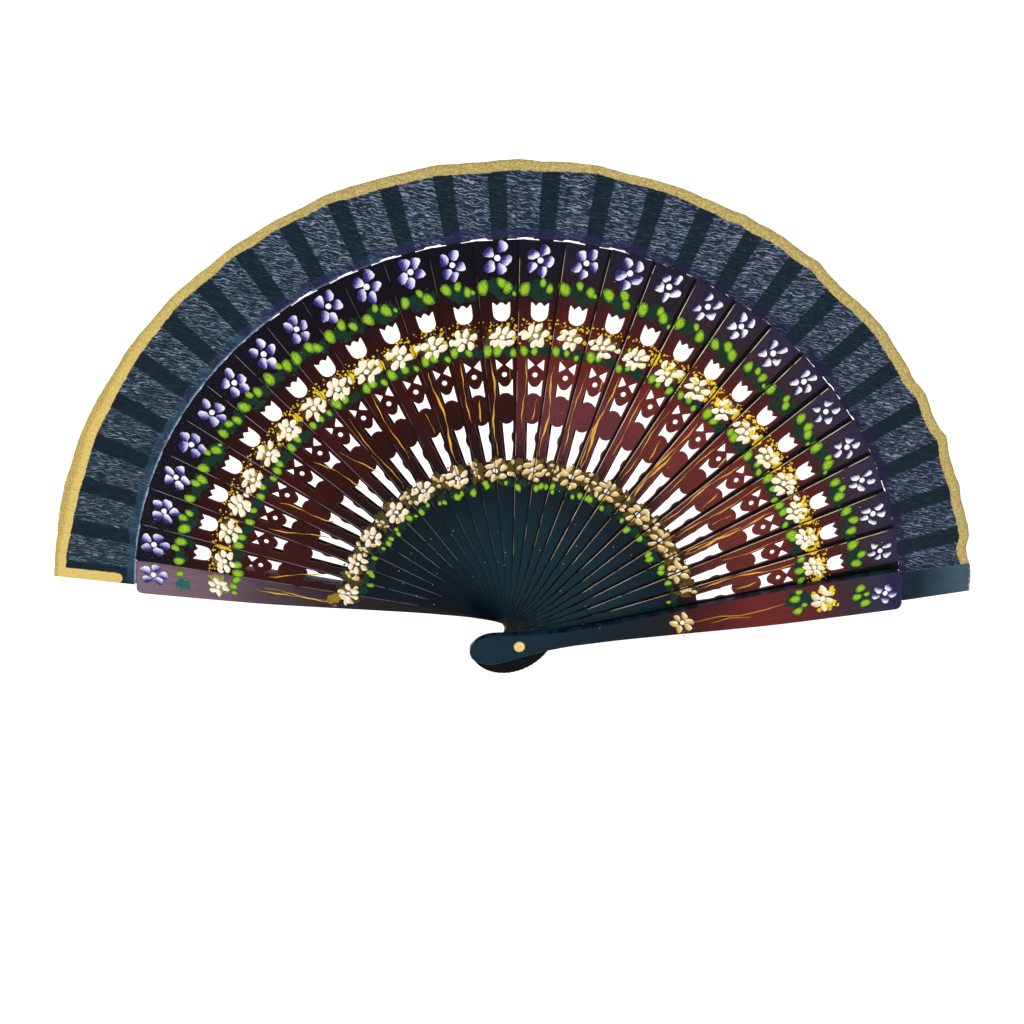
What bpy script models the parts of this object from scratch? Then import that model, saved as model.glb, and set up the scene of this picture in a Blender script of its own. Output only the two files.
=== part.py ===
"""Folding hand fan: two guards, pierced wooden sticks on one brass rivet, and a pleated cloth leaf.

The open fan stands in the XZ plane with its painted face towards -Y and +Z up.
The origin is on the rivet's axis, half way through the stack of sticks.
Every stick, guard and pleat turns about that axis.
"""

import math

import bmesh
import bpy
from mathutils import Matrix

MM = 0.001

# ---- driving dimensions (millimetres and degrees) ----
STICKS = 26                 # sticks between the two guards
PITCH_Y = 1.0               # one layer of the stack
PITCH_DEG = 6.06            # angle from one stick to the next when open
REAR_DEG = 170.95           # direction of the rear guard, from +X towards +Z

HEAD_R = 22.6               # rivet axis to the rounded end of the head
SHOULDER_R = 175.6          # where the wide part of a stick ends
SLIP_R = 204.0              # end of the thin slip that carries the leaf
LEAF_IN = 175.95
LEAF_OUT = 206.3

STICK_T = 0.8
SLIP_T = 0.3
SLIP_BACK = 0.35            # rear face of the slip from the layer's middle
LEAF_T = 0.25
LEAF_FRONT = -0.30          # front face of the leaf from the layer's middle
GUARD_T = 3.8
TONGUE_T = 0.8              # the guards' thin ends under the leaf
REAR_TONGUE_T = 1.5

PIVOT_R = 1.8               # pivot hole
PIN_R = 1.45
RIVET_HEAD_R = 2.6
WASHER_R = 3.2

HOLE_SLANT = -0.0055        # the piercings' centre line leans off the stick's axis
FOLD_LEFT_DEG = -2.60       # a pleat reaches this far each side of its stick
FOLD_RIGHT_DEG = FOLD_LEFT_DEG + PITCH_DEG

HALF = STICKS / 2 + 0.5     # layers from the middle to a guard's layer


# ---- outlines: (u, r), u across and r out from the rivet ----
HEAD_LEFT = [(-20.6, 4.0), (-17.4, 6.2), (-12.5, 7.3), (-5.0, 6.5), (3.0, 5.3), (11.0, 4.45), (22.0, 3.9)]


def stick_outline():
    """Head, narrow neck, widening blade and straight shoulder."""
    left = [(-w, r) for r, w in HEAD_LEFT] + [(-(2.55 + 0.0486 * r), r) for r in (34.0, SHOULDER_R)]
    right = [(w, r) for r, w in HEAD_LEFT] + [(3.0 + 0.053 * 34.0, 34.0), (9.1, 115.0), (10.5, SHOULDER_R)]
    return [(0.0, -HEAD_R)] + right + left[::-1]


def on_slant(points):
    return [(u + HOLE_SLANT * r, r) for u, r in points]


def mirrored(points):
    """A closed outline from its right half, listed from top to bottom."""
    return points + [(-u, r) for u, r in points[::-1] if u > 1e-9]


def circle(u, r, radius, n, start=0.0):
    return [(u + radius * math.cos(start + 2 * math.pi * i / n), r + radius * math.sin(start + 2 * math.pi * i / n)) for i in range(n)]


def tulip():
    return on_slant(mirrored([(0.0, 151.3), (1.8, 149.7), (3.5, 151.1), (3.45, 146.2), (2.5, 144.2), (0.0, 143.3)]))


def triangle(side):
    return on_slant([(side * 0.75, 125.2), (side * 3.5, 127.6), (side * 3.5, 122.9)])


def bow():
    return on_slant(mirrored([(0.0, 115.8), (1.5, 116.3), (3.3, 118.9), (3.1, 111.8), (1.6, 112.8), (0.0, 113.1)]))


def slot():
    return on_slant(mirrored([(0.0, 99.5), (2.7, 100.7), (2.6, 96.2), (1.7, 94.4), (1.7, 92.4), (2.3, 90.6), (1.5, 83.0)]))


GUARD_HALF = HEAD_LEFT + [(33.0, 4.1), (46.0, 4.5), (73.0, 6.0), (100.0, 7.6), (122.0, 8.65), (150.0, 9.3), (174.2, 9.75)]


def guard_outline():
    half = [(w, r) for r, w in GUARD_HALF] + [(9.3, 175.3), (8.2, 175.7)]
    return [(0.0, -HEAD_R)] + half + [(-u, r) for u, r in half[::-1]]


def tongue_outline(left, right, end):
    return [(left, 168.0), (right, 168.0), (right, end - 1.2), (right - 1.2, end), (left + 1.2, end), (left, end - 1.2)]


def pleat_outline(a0, a1, start_u=None, end_u=None):
    """One gore of the leaf. Its sides are radial, or at a fixed u along a guard."""
    def side(angle, flat_u, radius):
        if flat_u is not None:
            return (flat_u, math.sqrt(radius * radius - flat_u * flat_u))
        return (radius * math.sin(math.radians(angle)), radius * math.cos(math.radians(angle)))

    pts = []
    for radius, steps in ((LEAF_IN, range(0, 4)), (LEAF_OUT, range(3, -1, -1))):
        b0 = a0 if start_u is None else math.degrees(math.asin(start_u / radius))
        b1 = a1 if end_u is None else math.degrees(math.asin(end_u / radius))
        for i in steps:
            if i == 0:
                pts.append(side(a0, start_u, radius))
            elif i == 3:
                pts.append(side(a1, end_u, radius))
            else:
                pts.append(side(b0 + (b1 - b0) * i / 3, None, radius))
    return pts


# ---- scene set-up ----
for ob in list(bpy.data.objects):
    bpy.data.objects.remove(ob, do_unlink=True)

fan = bpy.data.collections.new("hand_fan")
tools = bpy.data.collections.new("cutters")
bpy.context.scene.collection.children.link(fan)
bpy.context.scene.collection.children.link(tools)


def material(name, colour, roughness, metallic=0.0):
    m = bpy.data.materials.new(name)
    m.use_nodes = True
    b = m.node_tree.nodes["Principled BSDF"]
    b.inputs["Base Color"].default_value = (*colour, 1.0)
    b.inputs["Roughness"].default_value = roughness
    b.inputs["Metallic"].default_value = metallic
    return m


LACQUER = material("stick_lacquer", (0.13, 0.022, 0.020), 0.30)
GUARD_LACQUER = material("guard_lacquer", (0.10, 0.025, 0.030), 0.28)
CLOTH = material("leaf_cloth", (0.012, 0.035, 0.047), 0.85)
BRASS = material("rivet_brass", (0.78, 0.57, 0.22), 0.30, 1.0)


def plate_mesh(name, outlines, thickness, middle=0.0):
    """A flat plate: closed outlines (the first outside, the others holes) in the XZ plane, middle at y = middle."""
    cu = bpy.data.curves.new(name, "CURVE")
    cu.dimensions = "2D"
    cu.fill_mode = "BOTH"
    cu.extrude = thickness / 2 * MM
    for points in outlines:
        sp = cu.splines.new("POLY")
        sp.points.add(len(points) - 1)
        for p, (u, r) in zip(sp.points, points):
            p.co = (u * MM, r * MM, 0.0, 1.0)
        sp.use_cyclic_u = True
    ob = bpy.data.objects.new(name, cu)
    ob.rotation_euler = (math.radians(90), 0.0, 0.0)
    ob.location = (0.0, middle * MM, 0.0)
    tools.objects.link(ob)
    bpy.context.view_layer.update()
    dg = bpy.context.evaluated_depsgraph_get()
    me = bpy.data.meshes.new_from_object(ob.evaluated_get(dg))
    me.transform(ob.matrix_world)
    bpy.data.objects.remove(ob, do_unlink=True)
    bm = bmesh.new()
    bm.from_mesh(me)
    bmesh.ops.remove_doubles(bm, verts=bm.verts, dist=0.00001)
    bmesh.ops.recalc_face_normals(bm, faces=bm.faces)
    bm.to_mesh(me)
    bm.free()
    me.materials.clear()
    return me


def put(name, me, mat, direction_deg=90.0, layer_y=0.0):
    """An object whose origin is on the rivet's axis, turned so that its own +Z points along direction_deg."""
    ob = bpy.data.objects.new(name, me)
    if not me.materials:
        me.materials.append(mat)
    ob.rotation_euler = (0.0, math.radians(90.0 - direction_deg), 0.0)
    ob.location = (0.0, layer_y * MM, 0.0)
    fan.objects.link(ob)
    return ob


def joined(name, base, others, operation="UNION"):
    """The base mesh joined with, or cut by, the other meshes."""
    host = bpy.data.objects.new(name, base)
    tools.objects.link(host)
    made = []
    for i, me in enumerate(others):
        t = bpy.data.objects.new(f"{name}_tool_{i}", me)
        t.hide_render = True
        t.display_type = "WIRE"
        tools.objects.link(t)
        mod = host.modifiers.new(f"bool_{i}", "BOOLEAN")
        mod.operation = operation
        mod.solver = "EXACT"
        mod.object = t
        made.append(t)
    bpy.context.view_layer.update()
    dg = bpy.context.evaluated_depsgraph_get()
    me = bpy.data.meshes.new_from_object(host.evaluated_get(dg))
    for ob in [host] + made:
        bpy.data.objects.remove(ob, do_unlink=True)
    me.materials.clear()
    return me


def direction(k):
    """Direction of member k: 0 is the rear guard, STICKS + 1 the front guard."""
    return REAR_DEG - k * PITCH_DEG


def layer(k):
    return (HALF - k) * PITCH_Y


# ---- sticks ----
pivot_hole = circle(0.0, 0.0, PIVOT_R, 10, 0.31)
piercings = [tulip(), triangle(-1), triangle(1), circle(HOLE_SLANT * 121.0, 121.0, 1.05, 8, 0.39), bow(), slot()]
blade = plate_mesh("blade", [stick_outline(), pivot_hole] + piercings, STICK_T)
slip = plate_mesh(
    "slip",
    [[(-3.2, 171.0), (2.6, 171.0), (3.35, SLIP_R - 0.8), (2.6, SLIP_R), (-3.2, SLIP_R), (-3.95, SLIP_R - 0.8)]],
    SLIP_T,
    SLIP_BACK - SLIP_T / 2,
)
stick_mesh = joined("stick", blade, [slip])
for k in range(1, STICKS + 1):
    put(f"stick_{k:02d}", stick_mesh, LACQUER, direction(k), layer(k))

# ---- guards ----
# The rear guard lies behind the last layer and the front guard in front of the first, each with a thin end that the leaf is glued to.
rear_inner = 0.05
front_inner = 0.40


def bevelled(name, me, width):
    """Breaks the long edges of a guard's outer face."""
    ob = bpy.data.objects.new(name, me)
    tools.objects.link(ob)
    mod = ob.modifiers.new("bevel", "BEVEL")
    mod.width = width * MM
    mod.segments = 1
    mod.limit_method = "ANGLE"
    mod.angle_limit = math.radians(60)
    mod.use_clamp_overlap = True
    bpy.context.view_layer.update()
    dg = bpy.context.evaluated_depsgraph_get()
    out = bpy.data.meshes.new_from_object(ob.evaluated_get(dg))
    bpy.data.objects.remove(ob, do_unlink=True)
    out.materials.clear()
    return out


rear_body = bevelled("rear_body", plate_mesh("rear_body", [guard_outline(), pivot_hole], GUARD_T, rear_inner + GUARD_T / 2), 0.35)
rear_tongue = plate_mesh("rear_tongue", [tongue_outline(-5.0, 6.0, 205.2)], REAR_TONGUE_T, rear_inner + 0.1 + REAR_TONGUE_T / 2)
rear_mesh = joined("rear", rear_body, [rear_tongue])
put("rear_guard", rear_mesh, GUARD_LACQUER, direction(0), layer(0))

front_body = bevelled("front_body", plate_mesh("front_body", [guard_outline(), pivot_hole], GUARD_T, front_inner - GUARD_T / 2), 0.35)
front_tongue = plate_mesh("front_tongue", [tongue_outline(-6.9, 6.9, 205.6)], TONGUE_T, front_inner - 0.1 - TONGUE_T / 2)
front_mesh = joined("front", front_body, [front_tongue])
put("front_guard", front_mesh, GUARD_LACQUER, direction(STICKS + 1), layer(STICKS + 1))

# ---- leaf: one pleat on each member ----
leaf_mid = LEAF_FRONT + LEAF_T / 2
first = plate_mesh("leaf_first", [pleat_outline(0, FOLD_RIGHT_DEG, start_u=-5.3)], LEAF_T, leaf_mid)
inner = plate_mesh("leaf_inner", [pleat_outline(FOLD_LEFT_DEG, FOLD_RIGHT_DEG)], LEAF_T, leaf_mid)
last = plate_mesh("leaf_last", [pleat_outline(FOLD_LEFT_DEG, 0, end_u=7.0)], LEAF_T, front_inner - 0.1 - TONGUE_T - 0.15 - LEAF_T / 2)
put("leaf_pleat_01", first, CLOTH, direction(0), layer(0))
for k in range(1, STICKS + 1):
    put(f"leaf_pleat_{k + 1:02d}", inner, CLOTH, direction(k), layer(k))
put(f"leaf_pleat_{STICKS + 2:02d}", last, CLOTH, direction(STICKS + 1), layer(STICKS + 1))

# ---- rivet and washer, turned about the pivot axis ----
FRONT_FACE = layer(STICKS + 1) + front_inner - GUARD_T      # the front guard's outer face
BACK_FACE = layer(0) + rear_inner + GUARD_T                 # the rear guard's outer face
WASHER_T = 0.5
SEAT = 0.2                                                  # running gap between the faces of the stack


def turned(name, profile, mat, steps):
    """A profile of (radius, height) turned about Z, then laid along Y with its top towards -Y."""
    me = bpy.data.meshes.new(name)
    bm = bmesh.new()
    verts = [bm.verts.new((r * MM, 0.0, z * MM)) for r, z in profile]
    for a, b in zip(verts, verts[1:]):
        bm.edges.new((a, b))
    if profile[0][0] > 0:
        bm.edges.new((verts[-1], verts[0]))
    bm.to_mesh(me)
    bm.free()
    me.materials.append(mat)
    ob = bpy.data.objects.new(name, me)
    fan.objects.link(ob)
    mod = ob.modifiers.new("turn", "SCREW")
    mod.axis = "Z"
    mod.steps = steps
    mod.render_steps = steps
    mod.angle = 2 * math.pi
    mod.use_merge_vertices = True
    mod.merge_threshold = 0.00001
    mod.use_smooth_shade = True
    ob.rotation_euler = (math.radians(90), 0.0, 0.0)
    return ob


f = -FRONT_FACE + SEAT
b = -(BACK_FACE + SEAT + WASHER_T + SEAT)
turned(
    "rivet",
    [(0.0, f + 0.65), (0.45, f + 0.70), (0.75, f + 0.95), (1.5, f + 0.90), (2.25, f + 0.62), (RIVET_HEAD_R, f + 0.2), (RIVET_HEAD_R - 0.1, f), (PIN_R, f), (PIN_R, b), (2.3, b), (2.25, b - 0.35), (1.4, b - 0.75), (0.0, b - 0.8)],
    BRASS,
    20,
)
w0 = -(BACK_FACE + SEAT)
turned(
    "rivet_washer",
    [(1.75, w0), (WASHER_R - 0.12, w0), (WASHER_R, w0 - 0.12), (WASHER_R, w0 - WASHER_T + 0.12), (WASHER_R - 0.12, w0 - WASHER_T), (1.75, w0 - WASHER_T)],
    BRASS,
    20,
)
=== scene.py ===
import math
import random

import bmesh
import bpy
from mathutils import Matrix, Vector


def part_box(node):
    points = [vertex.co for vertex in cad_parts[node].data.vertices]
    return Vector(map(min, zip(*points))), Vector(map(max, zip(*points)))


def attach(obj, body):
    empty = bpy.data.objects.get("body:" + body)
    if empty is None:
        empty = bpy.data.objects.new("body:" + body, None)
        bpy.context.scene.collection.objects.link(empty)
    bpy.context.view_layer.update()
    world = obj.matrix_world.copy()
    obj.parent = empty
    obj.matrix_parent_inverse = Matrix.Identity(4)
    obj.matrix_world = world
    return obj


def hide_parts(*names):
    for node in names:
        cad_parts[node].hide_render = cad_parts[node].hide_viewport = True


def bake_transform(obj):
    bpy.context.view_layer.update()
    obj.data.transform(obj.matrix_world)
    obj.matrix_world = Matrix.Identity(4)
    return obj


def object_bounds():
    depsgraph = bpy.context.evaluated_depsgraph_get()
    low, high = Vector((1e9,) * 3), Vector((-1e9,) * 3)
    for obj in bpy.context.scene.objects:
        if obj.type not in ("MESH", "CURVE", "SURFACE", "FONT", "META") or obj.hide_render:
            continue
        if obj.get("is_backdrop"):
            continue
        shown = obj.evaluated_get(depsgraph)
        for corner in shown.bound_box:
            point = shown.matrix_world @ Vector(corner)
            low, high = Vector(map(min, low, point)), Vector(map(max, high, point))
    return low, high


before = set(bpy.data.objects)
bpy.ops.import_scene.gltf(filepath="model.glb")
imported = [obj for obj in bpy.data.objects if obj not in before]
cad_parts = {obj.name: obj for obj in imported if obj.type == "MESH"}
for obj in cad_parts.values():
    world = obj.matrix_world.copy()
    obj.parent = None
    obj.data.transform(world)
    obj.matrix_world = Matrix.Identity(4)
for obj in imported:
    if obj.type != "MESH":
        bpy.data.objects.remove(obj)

CAD_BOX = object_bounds()

MM = 0.001
STICKS = 26
FRONT = STICKS + 1
PITCH = 6.06
REAR_DEG = 170.95
BODY = ["rear_guard_side"] + [f"stick_{i:02d}_side" for i in range(1, STICKS + 1)] + ["front_guard_side"]

# ------------------------------------------------------------------ camera, floor and light
scene = bpy.context.scene
cam_data = bpy.data.cameras.new("camera")
cam = bpy.data.objects.new("camera", cam_data)
scene.collection.objects.link(cam)
right = Vector((0.997515, -0.070453, 0.0))
up = Vector((0.025981, 0.367857, 0.929519))
forward = Vector((0.065487, 0.927210, -0.368774))
cam.matrix_world = Matrix((
    (right.x, up.x, -forward.x, -0.029773),
    (right.y, up.y, -forward.y, -0.391432),
    (right.z, up.z, -forward.z, 0.214459),
    (0.0, 0.0, 0.0, 1.0)))
cam_data.sensor_width = 36.0
cam_data.lens = 33.40
cam_data.clip_start = 0.01
cam_data.clip_end = 50.0
scene.camera = cam
scene.view_settings.view_transform = "Standard"


def rgb(code, a=1.0):
    """A #rrggbb colour as linear numbers."""
    out = []
    for i in (1, 3, 5):
        c = int(code[i:i + 2], 16) / 255.0
        out.append(c / 12.92 if c <= 0.04045 else ((c + 0.055) / 1.055) ** 2.4)
    return (*out, a)


def mix3(a, b, t):
    t = max(0.0, min(1.0, t))
    return tuple(a[i] + (b[i] - a[i]) * t for i in range(3)) + (1.0,)


class Nodes:
    """Short names for building a material's nodes."""

    def __init__(self, name, roughness=0.4, metallic=0.0, specular=0.5):
        self.mat = bpy.data.materials.new(name)
        self.mat.use_nodes = True
        self.tree = self.mat.node_tree
        self.bsdf = self.tree.nodes["Principled BSDF"]
        self.bsdf.inputs["Roughness"].default_value = roughness
        self.bsdf.inputs["Metallic"].default_value = metallic
        self.bsdf.inputs["Specular IOR Level"].default_value = specular

    def node(self, kind, **settings):
        n = self.tree.nodes.new(kind)
        for key, value in settings.items():
            setattr(n, key, value)
        return n

    def link(self, a, b):
        self.tree.links.new(a, b)

    def put(self, socket, value):
        if hasattr(value, "is_output"):
            self.link(value, socket)
        else:
            socket.default_value = value

    def attribute(self, name):
        return self.node("ShaderNodeAttribute", attribute_name=name)

    def split(self, vector):
        n = self.node("ShaderNodeSeparateXYZ")
        self.link(vector, n.inputs[0])
        return n.outputs

    def join(self, x=0.0, y=0.0, z=0.0):
        n = self.node("ShaderNodeCombineXYZ")
        for socket, value in zip(n.inputs, (x, y, z)):
            self.put(socket, value)
        return n.outputs[0]

    def math(self, operation, a, b=0.0, c=0.0, clamp=False):
        n = self.node("ShaderNodeMath", operation=operation, use_clamp=clamp)
        for socket, value in zip(n.inputs, (a, b, c)):
            self.put(socket, value)
        return n.outputs[0]

    def span(self, value, lo, hi, to_lo=0.0, to_hi=1.0, smooth=False):
        n = self.node("ShaderNodeMapRange", clamp=True, interpolation_type="SMOOTHSTEP" if smooth else "LINEAR")
        for name, v in (("Value", value), ("From Min", lo), ("From Max", hi), ("To Min", to_lo), ("To Max", to_hi)):
            self.put(n.inputs[name], v)
        return n.outputs[0]

    def noise(self, vector, scale=1.0, detail=2.0, roughness=0.5, distortion=0.0):
        n = self.node("ShaderNodeTexNoise")
        self.link(vector, n.inputs["Vector"])
        n.inputs["Scale"].default_value = scale
        n.inputs["Detail"].default_value = detail
        n.inputs["Roughness"].default_value = roughness
        n.inputs["Distortion"].default_value = distortion
        return n.outputs["Fac"]

    def ramp(self, value, stops, mode="LINEAR"):
        n = self.node("ShaderNodeValToRGB")
        n.color_ramp.interpolation = mode
        e = n.color_ramp.elements
        while len(e) < len(stops):
            e.new(0.5)
        for item, (position, colour) in zip(e, stops):
            item.position = position
            item.color = colour
        self.link(value, n.inputs[0])
        return n.outputs[0]

    def mix(self, factor, a, b, blend="MIX"):
        n = self.node("ShaderNodeMix", data_type="RGBA", blend_type=blend)
        self.put(n.inputs[0], factor)
        self.put(n.inputs[6], a)
        self.put(n.inputs[7], b)
        return n.outputs[2]

    def bump(self, height, strength=0.3, distance=0.0001):
        n = self.node("ShaderNodeBump")
        n.inputs["Strength"].default_value = strength
        n.inputs["Distance"].default_value = distance
        self.link(height, n.inputs["Height"])
        self.link(n.outputs[0], self.bsdf.inputs["Normal"])

    def colour(self, value):
        self.put(self.bsdf.inputs["Base Color"], value)

    def rough(self, value):
        self.put(self.bsdf.inputs["Roughness"], value)


# ------------------------------------------------------------------ materials
def lacquer(name, stops, sheen_and_tone_stops, edge_light, edge_dark, specular, sticks_only):
    """Lacquered wood: a painted gradient along the stick, painted sheen on the lighter sticks, wood grain under it, a
    painted shadow strip under each next stick's edge, and rubbed side walls.
    """
    m = Nodes(name, 0.32, 0.0, specular)
    fan = m.split(m.attribute("fan").outputs["Vector"])
    u, r, k = fan[0], fan[1], fan[2]
    here = m.join(u, r, m.math("MULTIPLY", k, 7.3))
    wander = m.noise(here, 0.07, 3.0, 0.6)
    along = m.math("ADD", r, m.math("MULTIPLY", m.math("SUBTRACT", wander, 0.5), 16.0))
    t = m.math("DIVIDE", m.math("ADD", along, 25.0), 235.0)
    dark = m.ramp(t, stops)
    light = m.ramp(t, sheen_and_tone_stops)
    # painted sheen: a member's attribute sets how much of the lighter, redder ramp it takes, which stands for lacquer
    # catching the light; the upper part of the right-hand sticks takes less
    side = m.attribute("sheen_and_tone").outputs["Fac"]
    upper = m.math("MULTIPLY", m.span(r, 138.0, 160.0), m.span(k, 21.0, 13.0, 0.0, 0.85), clamp=True)
    side = m.math("MULTIPLY", side, m.math("SUBTRACT", 1.0, m.math("MULTIPLY", upper, sticks_only), clamp=True), clamp=True)
    base = m.mix(side, dark, light)
    grain = m.noise(m.join(m.math("MULTIPLY", u, 2.6), m.math("MULTIPLY", r, 0.09), m.math("MULTIPLY", k, 3.1)), 1.0, 4.0, 0.62, 0.25)
    base = m.mix(m.span(grain, 0.32, 0.72, 0.0, 0.45), base, (0.002, 0.002, 0.004, 1.0))
    mottle = m.noise(here, 1.3, 3.0, 0.6)
    # painted sheen: a mottled pinkish veil on the lighter members, rising from 70 mm out to full past 100 mm
    painted_sheen = m.math("MULTIPLY", m.span(mottle, 0.50, 0.78, 0.0, 0.16), m.math("MULTIPLY", m.span(r, 70.0, 100.0), side), clamp=True)
    base = m.mix(painted_sheen, base, (0.20, 0.10, 0.10, 1.0))
    # painted sheen: a mottled purple-pink patch on sticks 14 to 18, between about 84 and 122 mm out
    sheen_patch = m.math("MULTIPLY", m.math("MULTIPLY", m.span(k, 13.2, 14.8), m.span(k, 18.6, 17.2, 0.0, 1.0)), m.math("MULTIPLY", m.span(r, 84.0, 96.0), m.span(r, 112.0, 122.0, 1.0, 0.0)), clamp=True)
    sheen_patch = m.math("MULTIPLY", sheen_patch, m.span(mottle, 0.32, 0.62, 0.15, 0.75))
    base = m.mix(m.math("MULTIPLY", sheen_patch, sticks_only), base, rgb("#5c2f3c"))
    blade = m.math("MULTIPLY", m.math("MULTIPLY", m.span(r, 60.0, 76.0, 1.0, 0.0), m.span(r, 40.0, 62.0, 1.0, 0.40)), sticks_only)
    base = m.mix(m.math("MULTIPLY", blade, m.span(k, 5.0, 12.0, 0.0, 0.72)), base, rgb("#132c35"))
    base = m.mix(m.math("MULTIPLY", blade, m.span(k, 8.0, 3.0, 0.0, 0.55)), base, (0.0015, 0.003, 0.004, 1.0))
    speck = m.noise(here, 3.6, 1.0, 0.4)
    dusty = m.span(k, 9.0, 2.0, 0.0, 1.0)
    dusty = m.math("MULTIPLY", dusty, m.span(r, 150.0, 168.0), clamp=True)
    base = m.mix(m.math("MULTIPLY", m.span(speck, 0.71, 0.75), dusty, clamp=True), base, (0.26, 0.23, 0.26, 1.0))
    # painted shadow: the strip under the next stick's edge is made nearly black, wider on the right-hand sticks
    inset = m.math("SUBTRACT", m.math("SUBTRACT", m.math("MULTIPLY", r, 0.05724), 2.55), u)
    shadow_width = m.math("ADD", m.math("MULTIPLY", m.span(k, 13.0, 20.0), m.span(r, 60.0, 150.0, 0.2, 1.35)), 0.30)
    shadow_strip = m.span(m.math("SUBTRACT", inset, shadow_width), -0.12, 0.12, 1.0, 0.0)
    base = m.mix(m.math("MULTIPLY", shadow_strip, sticks_only), base, (0.003, 0.003, 0.004, 1.0))
    wall = m.attribute("wall").outputs["Fac"]
    rubbed = m.noise(m.join(m.math("MULTIPLY", u, 0.4), m.math("MULTIPLY", r, 0.22), m.math("ADD", k, 11.0)), 1.0, 4.0, 0.65)
    edge = m.mix(m.span(rubbed, 0.40, 0.62), edge_dark, edge_light)
    base = m.mix(m.math("MULTIPLY", wall, 0.85), base, edge)
    m.colour(base)
    m.rough(m.span(mottle, 0.3, 0.7, 0.24, 0.40))
    fine = m.noise(m.join(m.math("MULTIPLY", u, 3.0), m.math("MULTIPLY", r, 0.5), k), 1.0, 3.0, 0.6)
    m.bump(fine, 0.25, 0.00006)
    return m.mat


def ramp_at(pairs):
    return [((r + 25.0) / 235.0, rgb(c)) for r, c in pairs]


STICK_PAINT = lacquer(
    "stick_lacquer_paint",
    ramp_at([(0, "#060f14"), (30, "#081b24"), (58, "#0a1c25"), (72, "#0b161c"), (82, "#130f10"), (94, "#220d09"),
             (112, "#310b06"), (134, "#300a06"), (150, "#2b0a08"), (159, "#120910"), (176, "#0c0a16")]),
    ramp_at([(0, "#060f14"), (30, "#0a1d27"), (58, "#0f1c26"), (72, "#12181e"), (82, "#2a1516"), (92, "#5a2a2a"),
             (110, "#6f2d2a"), (128, "#67221e"), (146, "#521915"), (156, "#3d2428"), (165, "#352d3b"), (176, "#2d2944")]),
    rgb("#4a3c33"), rgb("#0a0707"), 0.05, 1.0)

GUARD_PAINT = lacquer(
    "guard_lacquer_paint",
    ramp_at([(0, "#032635"), (40, "#041926"), (66, "#12141b"), (84, "#451211"), (110, "#681f1d"), (134, "#5a1d1c"),
             (150, "#3a232b"), (163, "#2f2a40"), (176, "#201e3c")]),
    ramp_at([(0, "#151317"), (60, "#1c1519"), (90, "#2c2026"), (115, "#4b3a42"), (140, "#6d5763"), (176, "#7d6875")]),
    rgb("#123440"), rgb("#05121a"), 0.10, 0.0)


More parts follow.
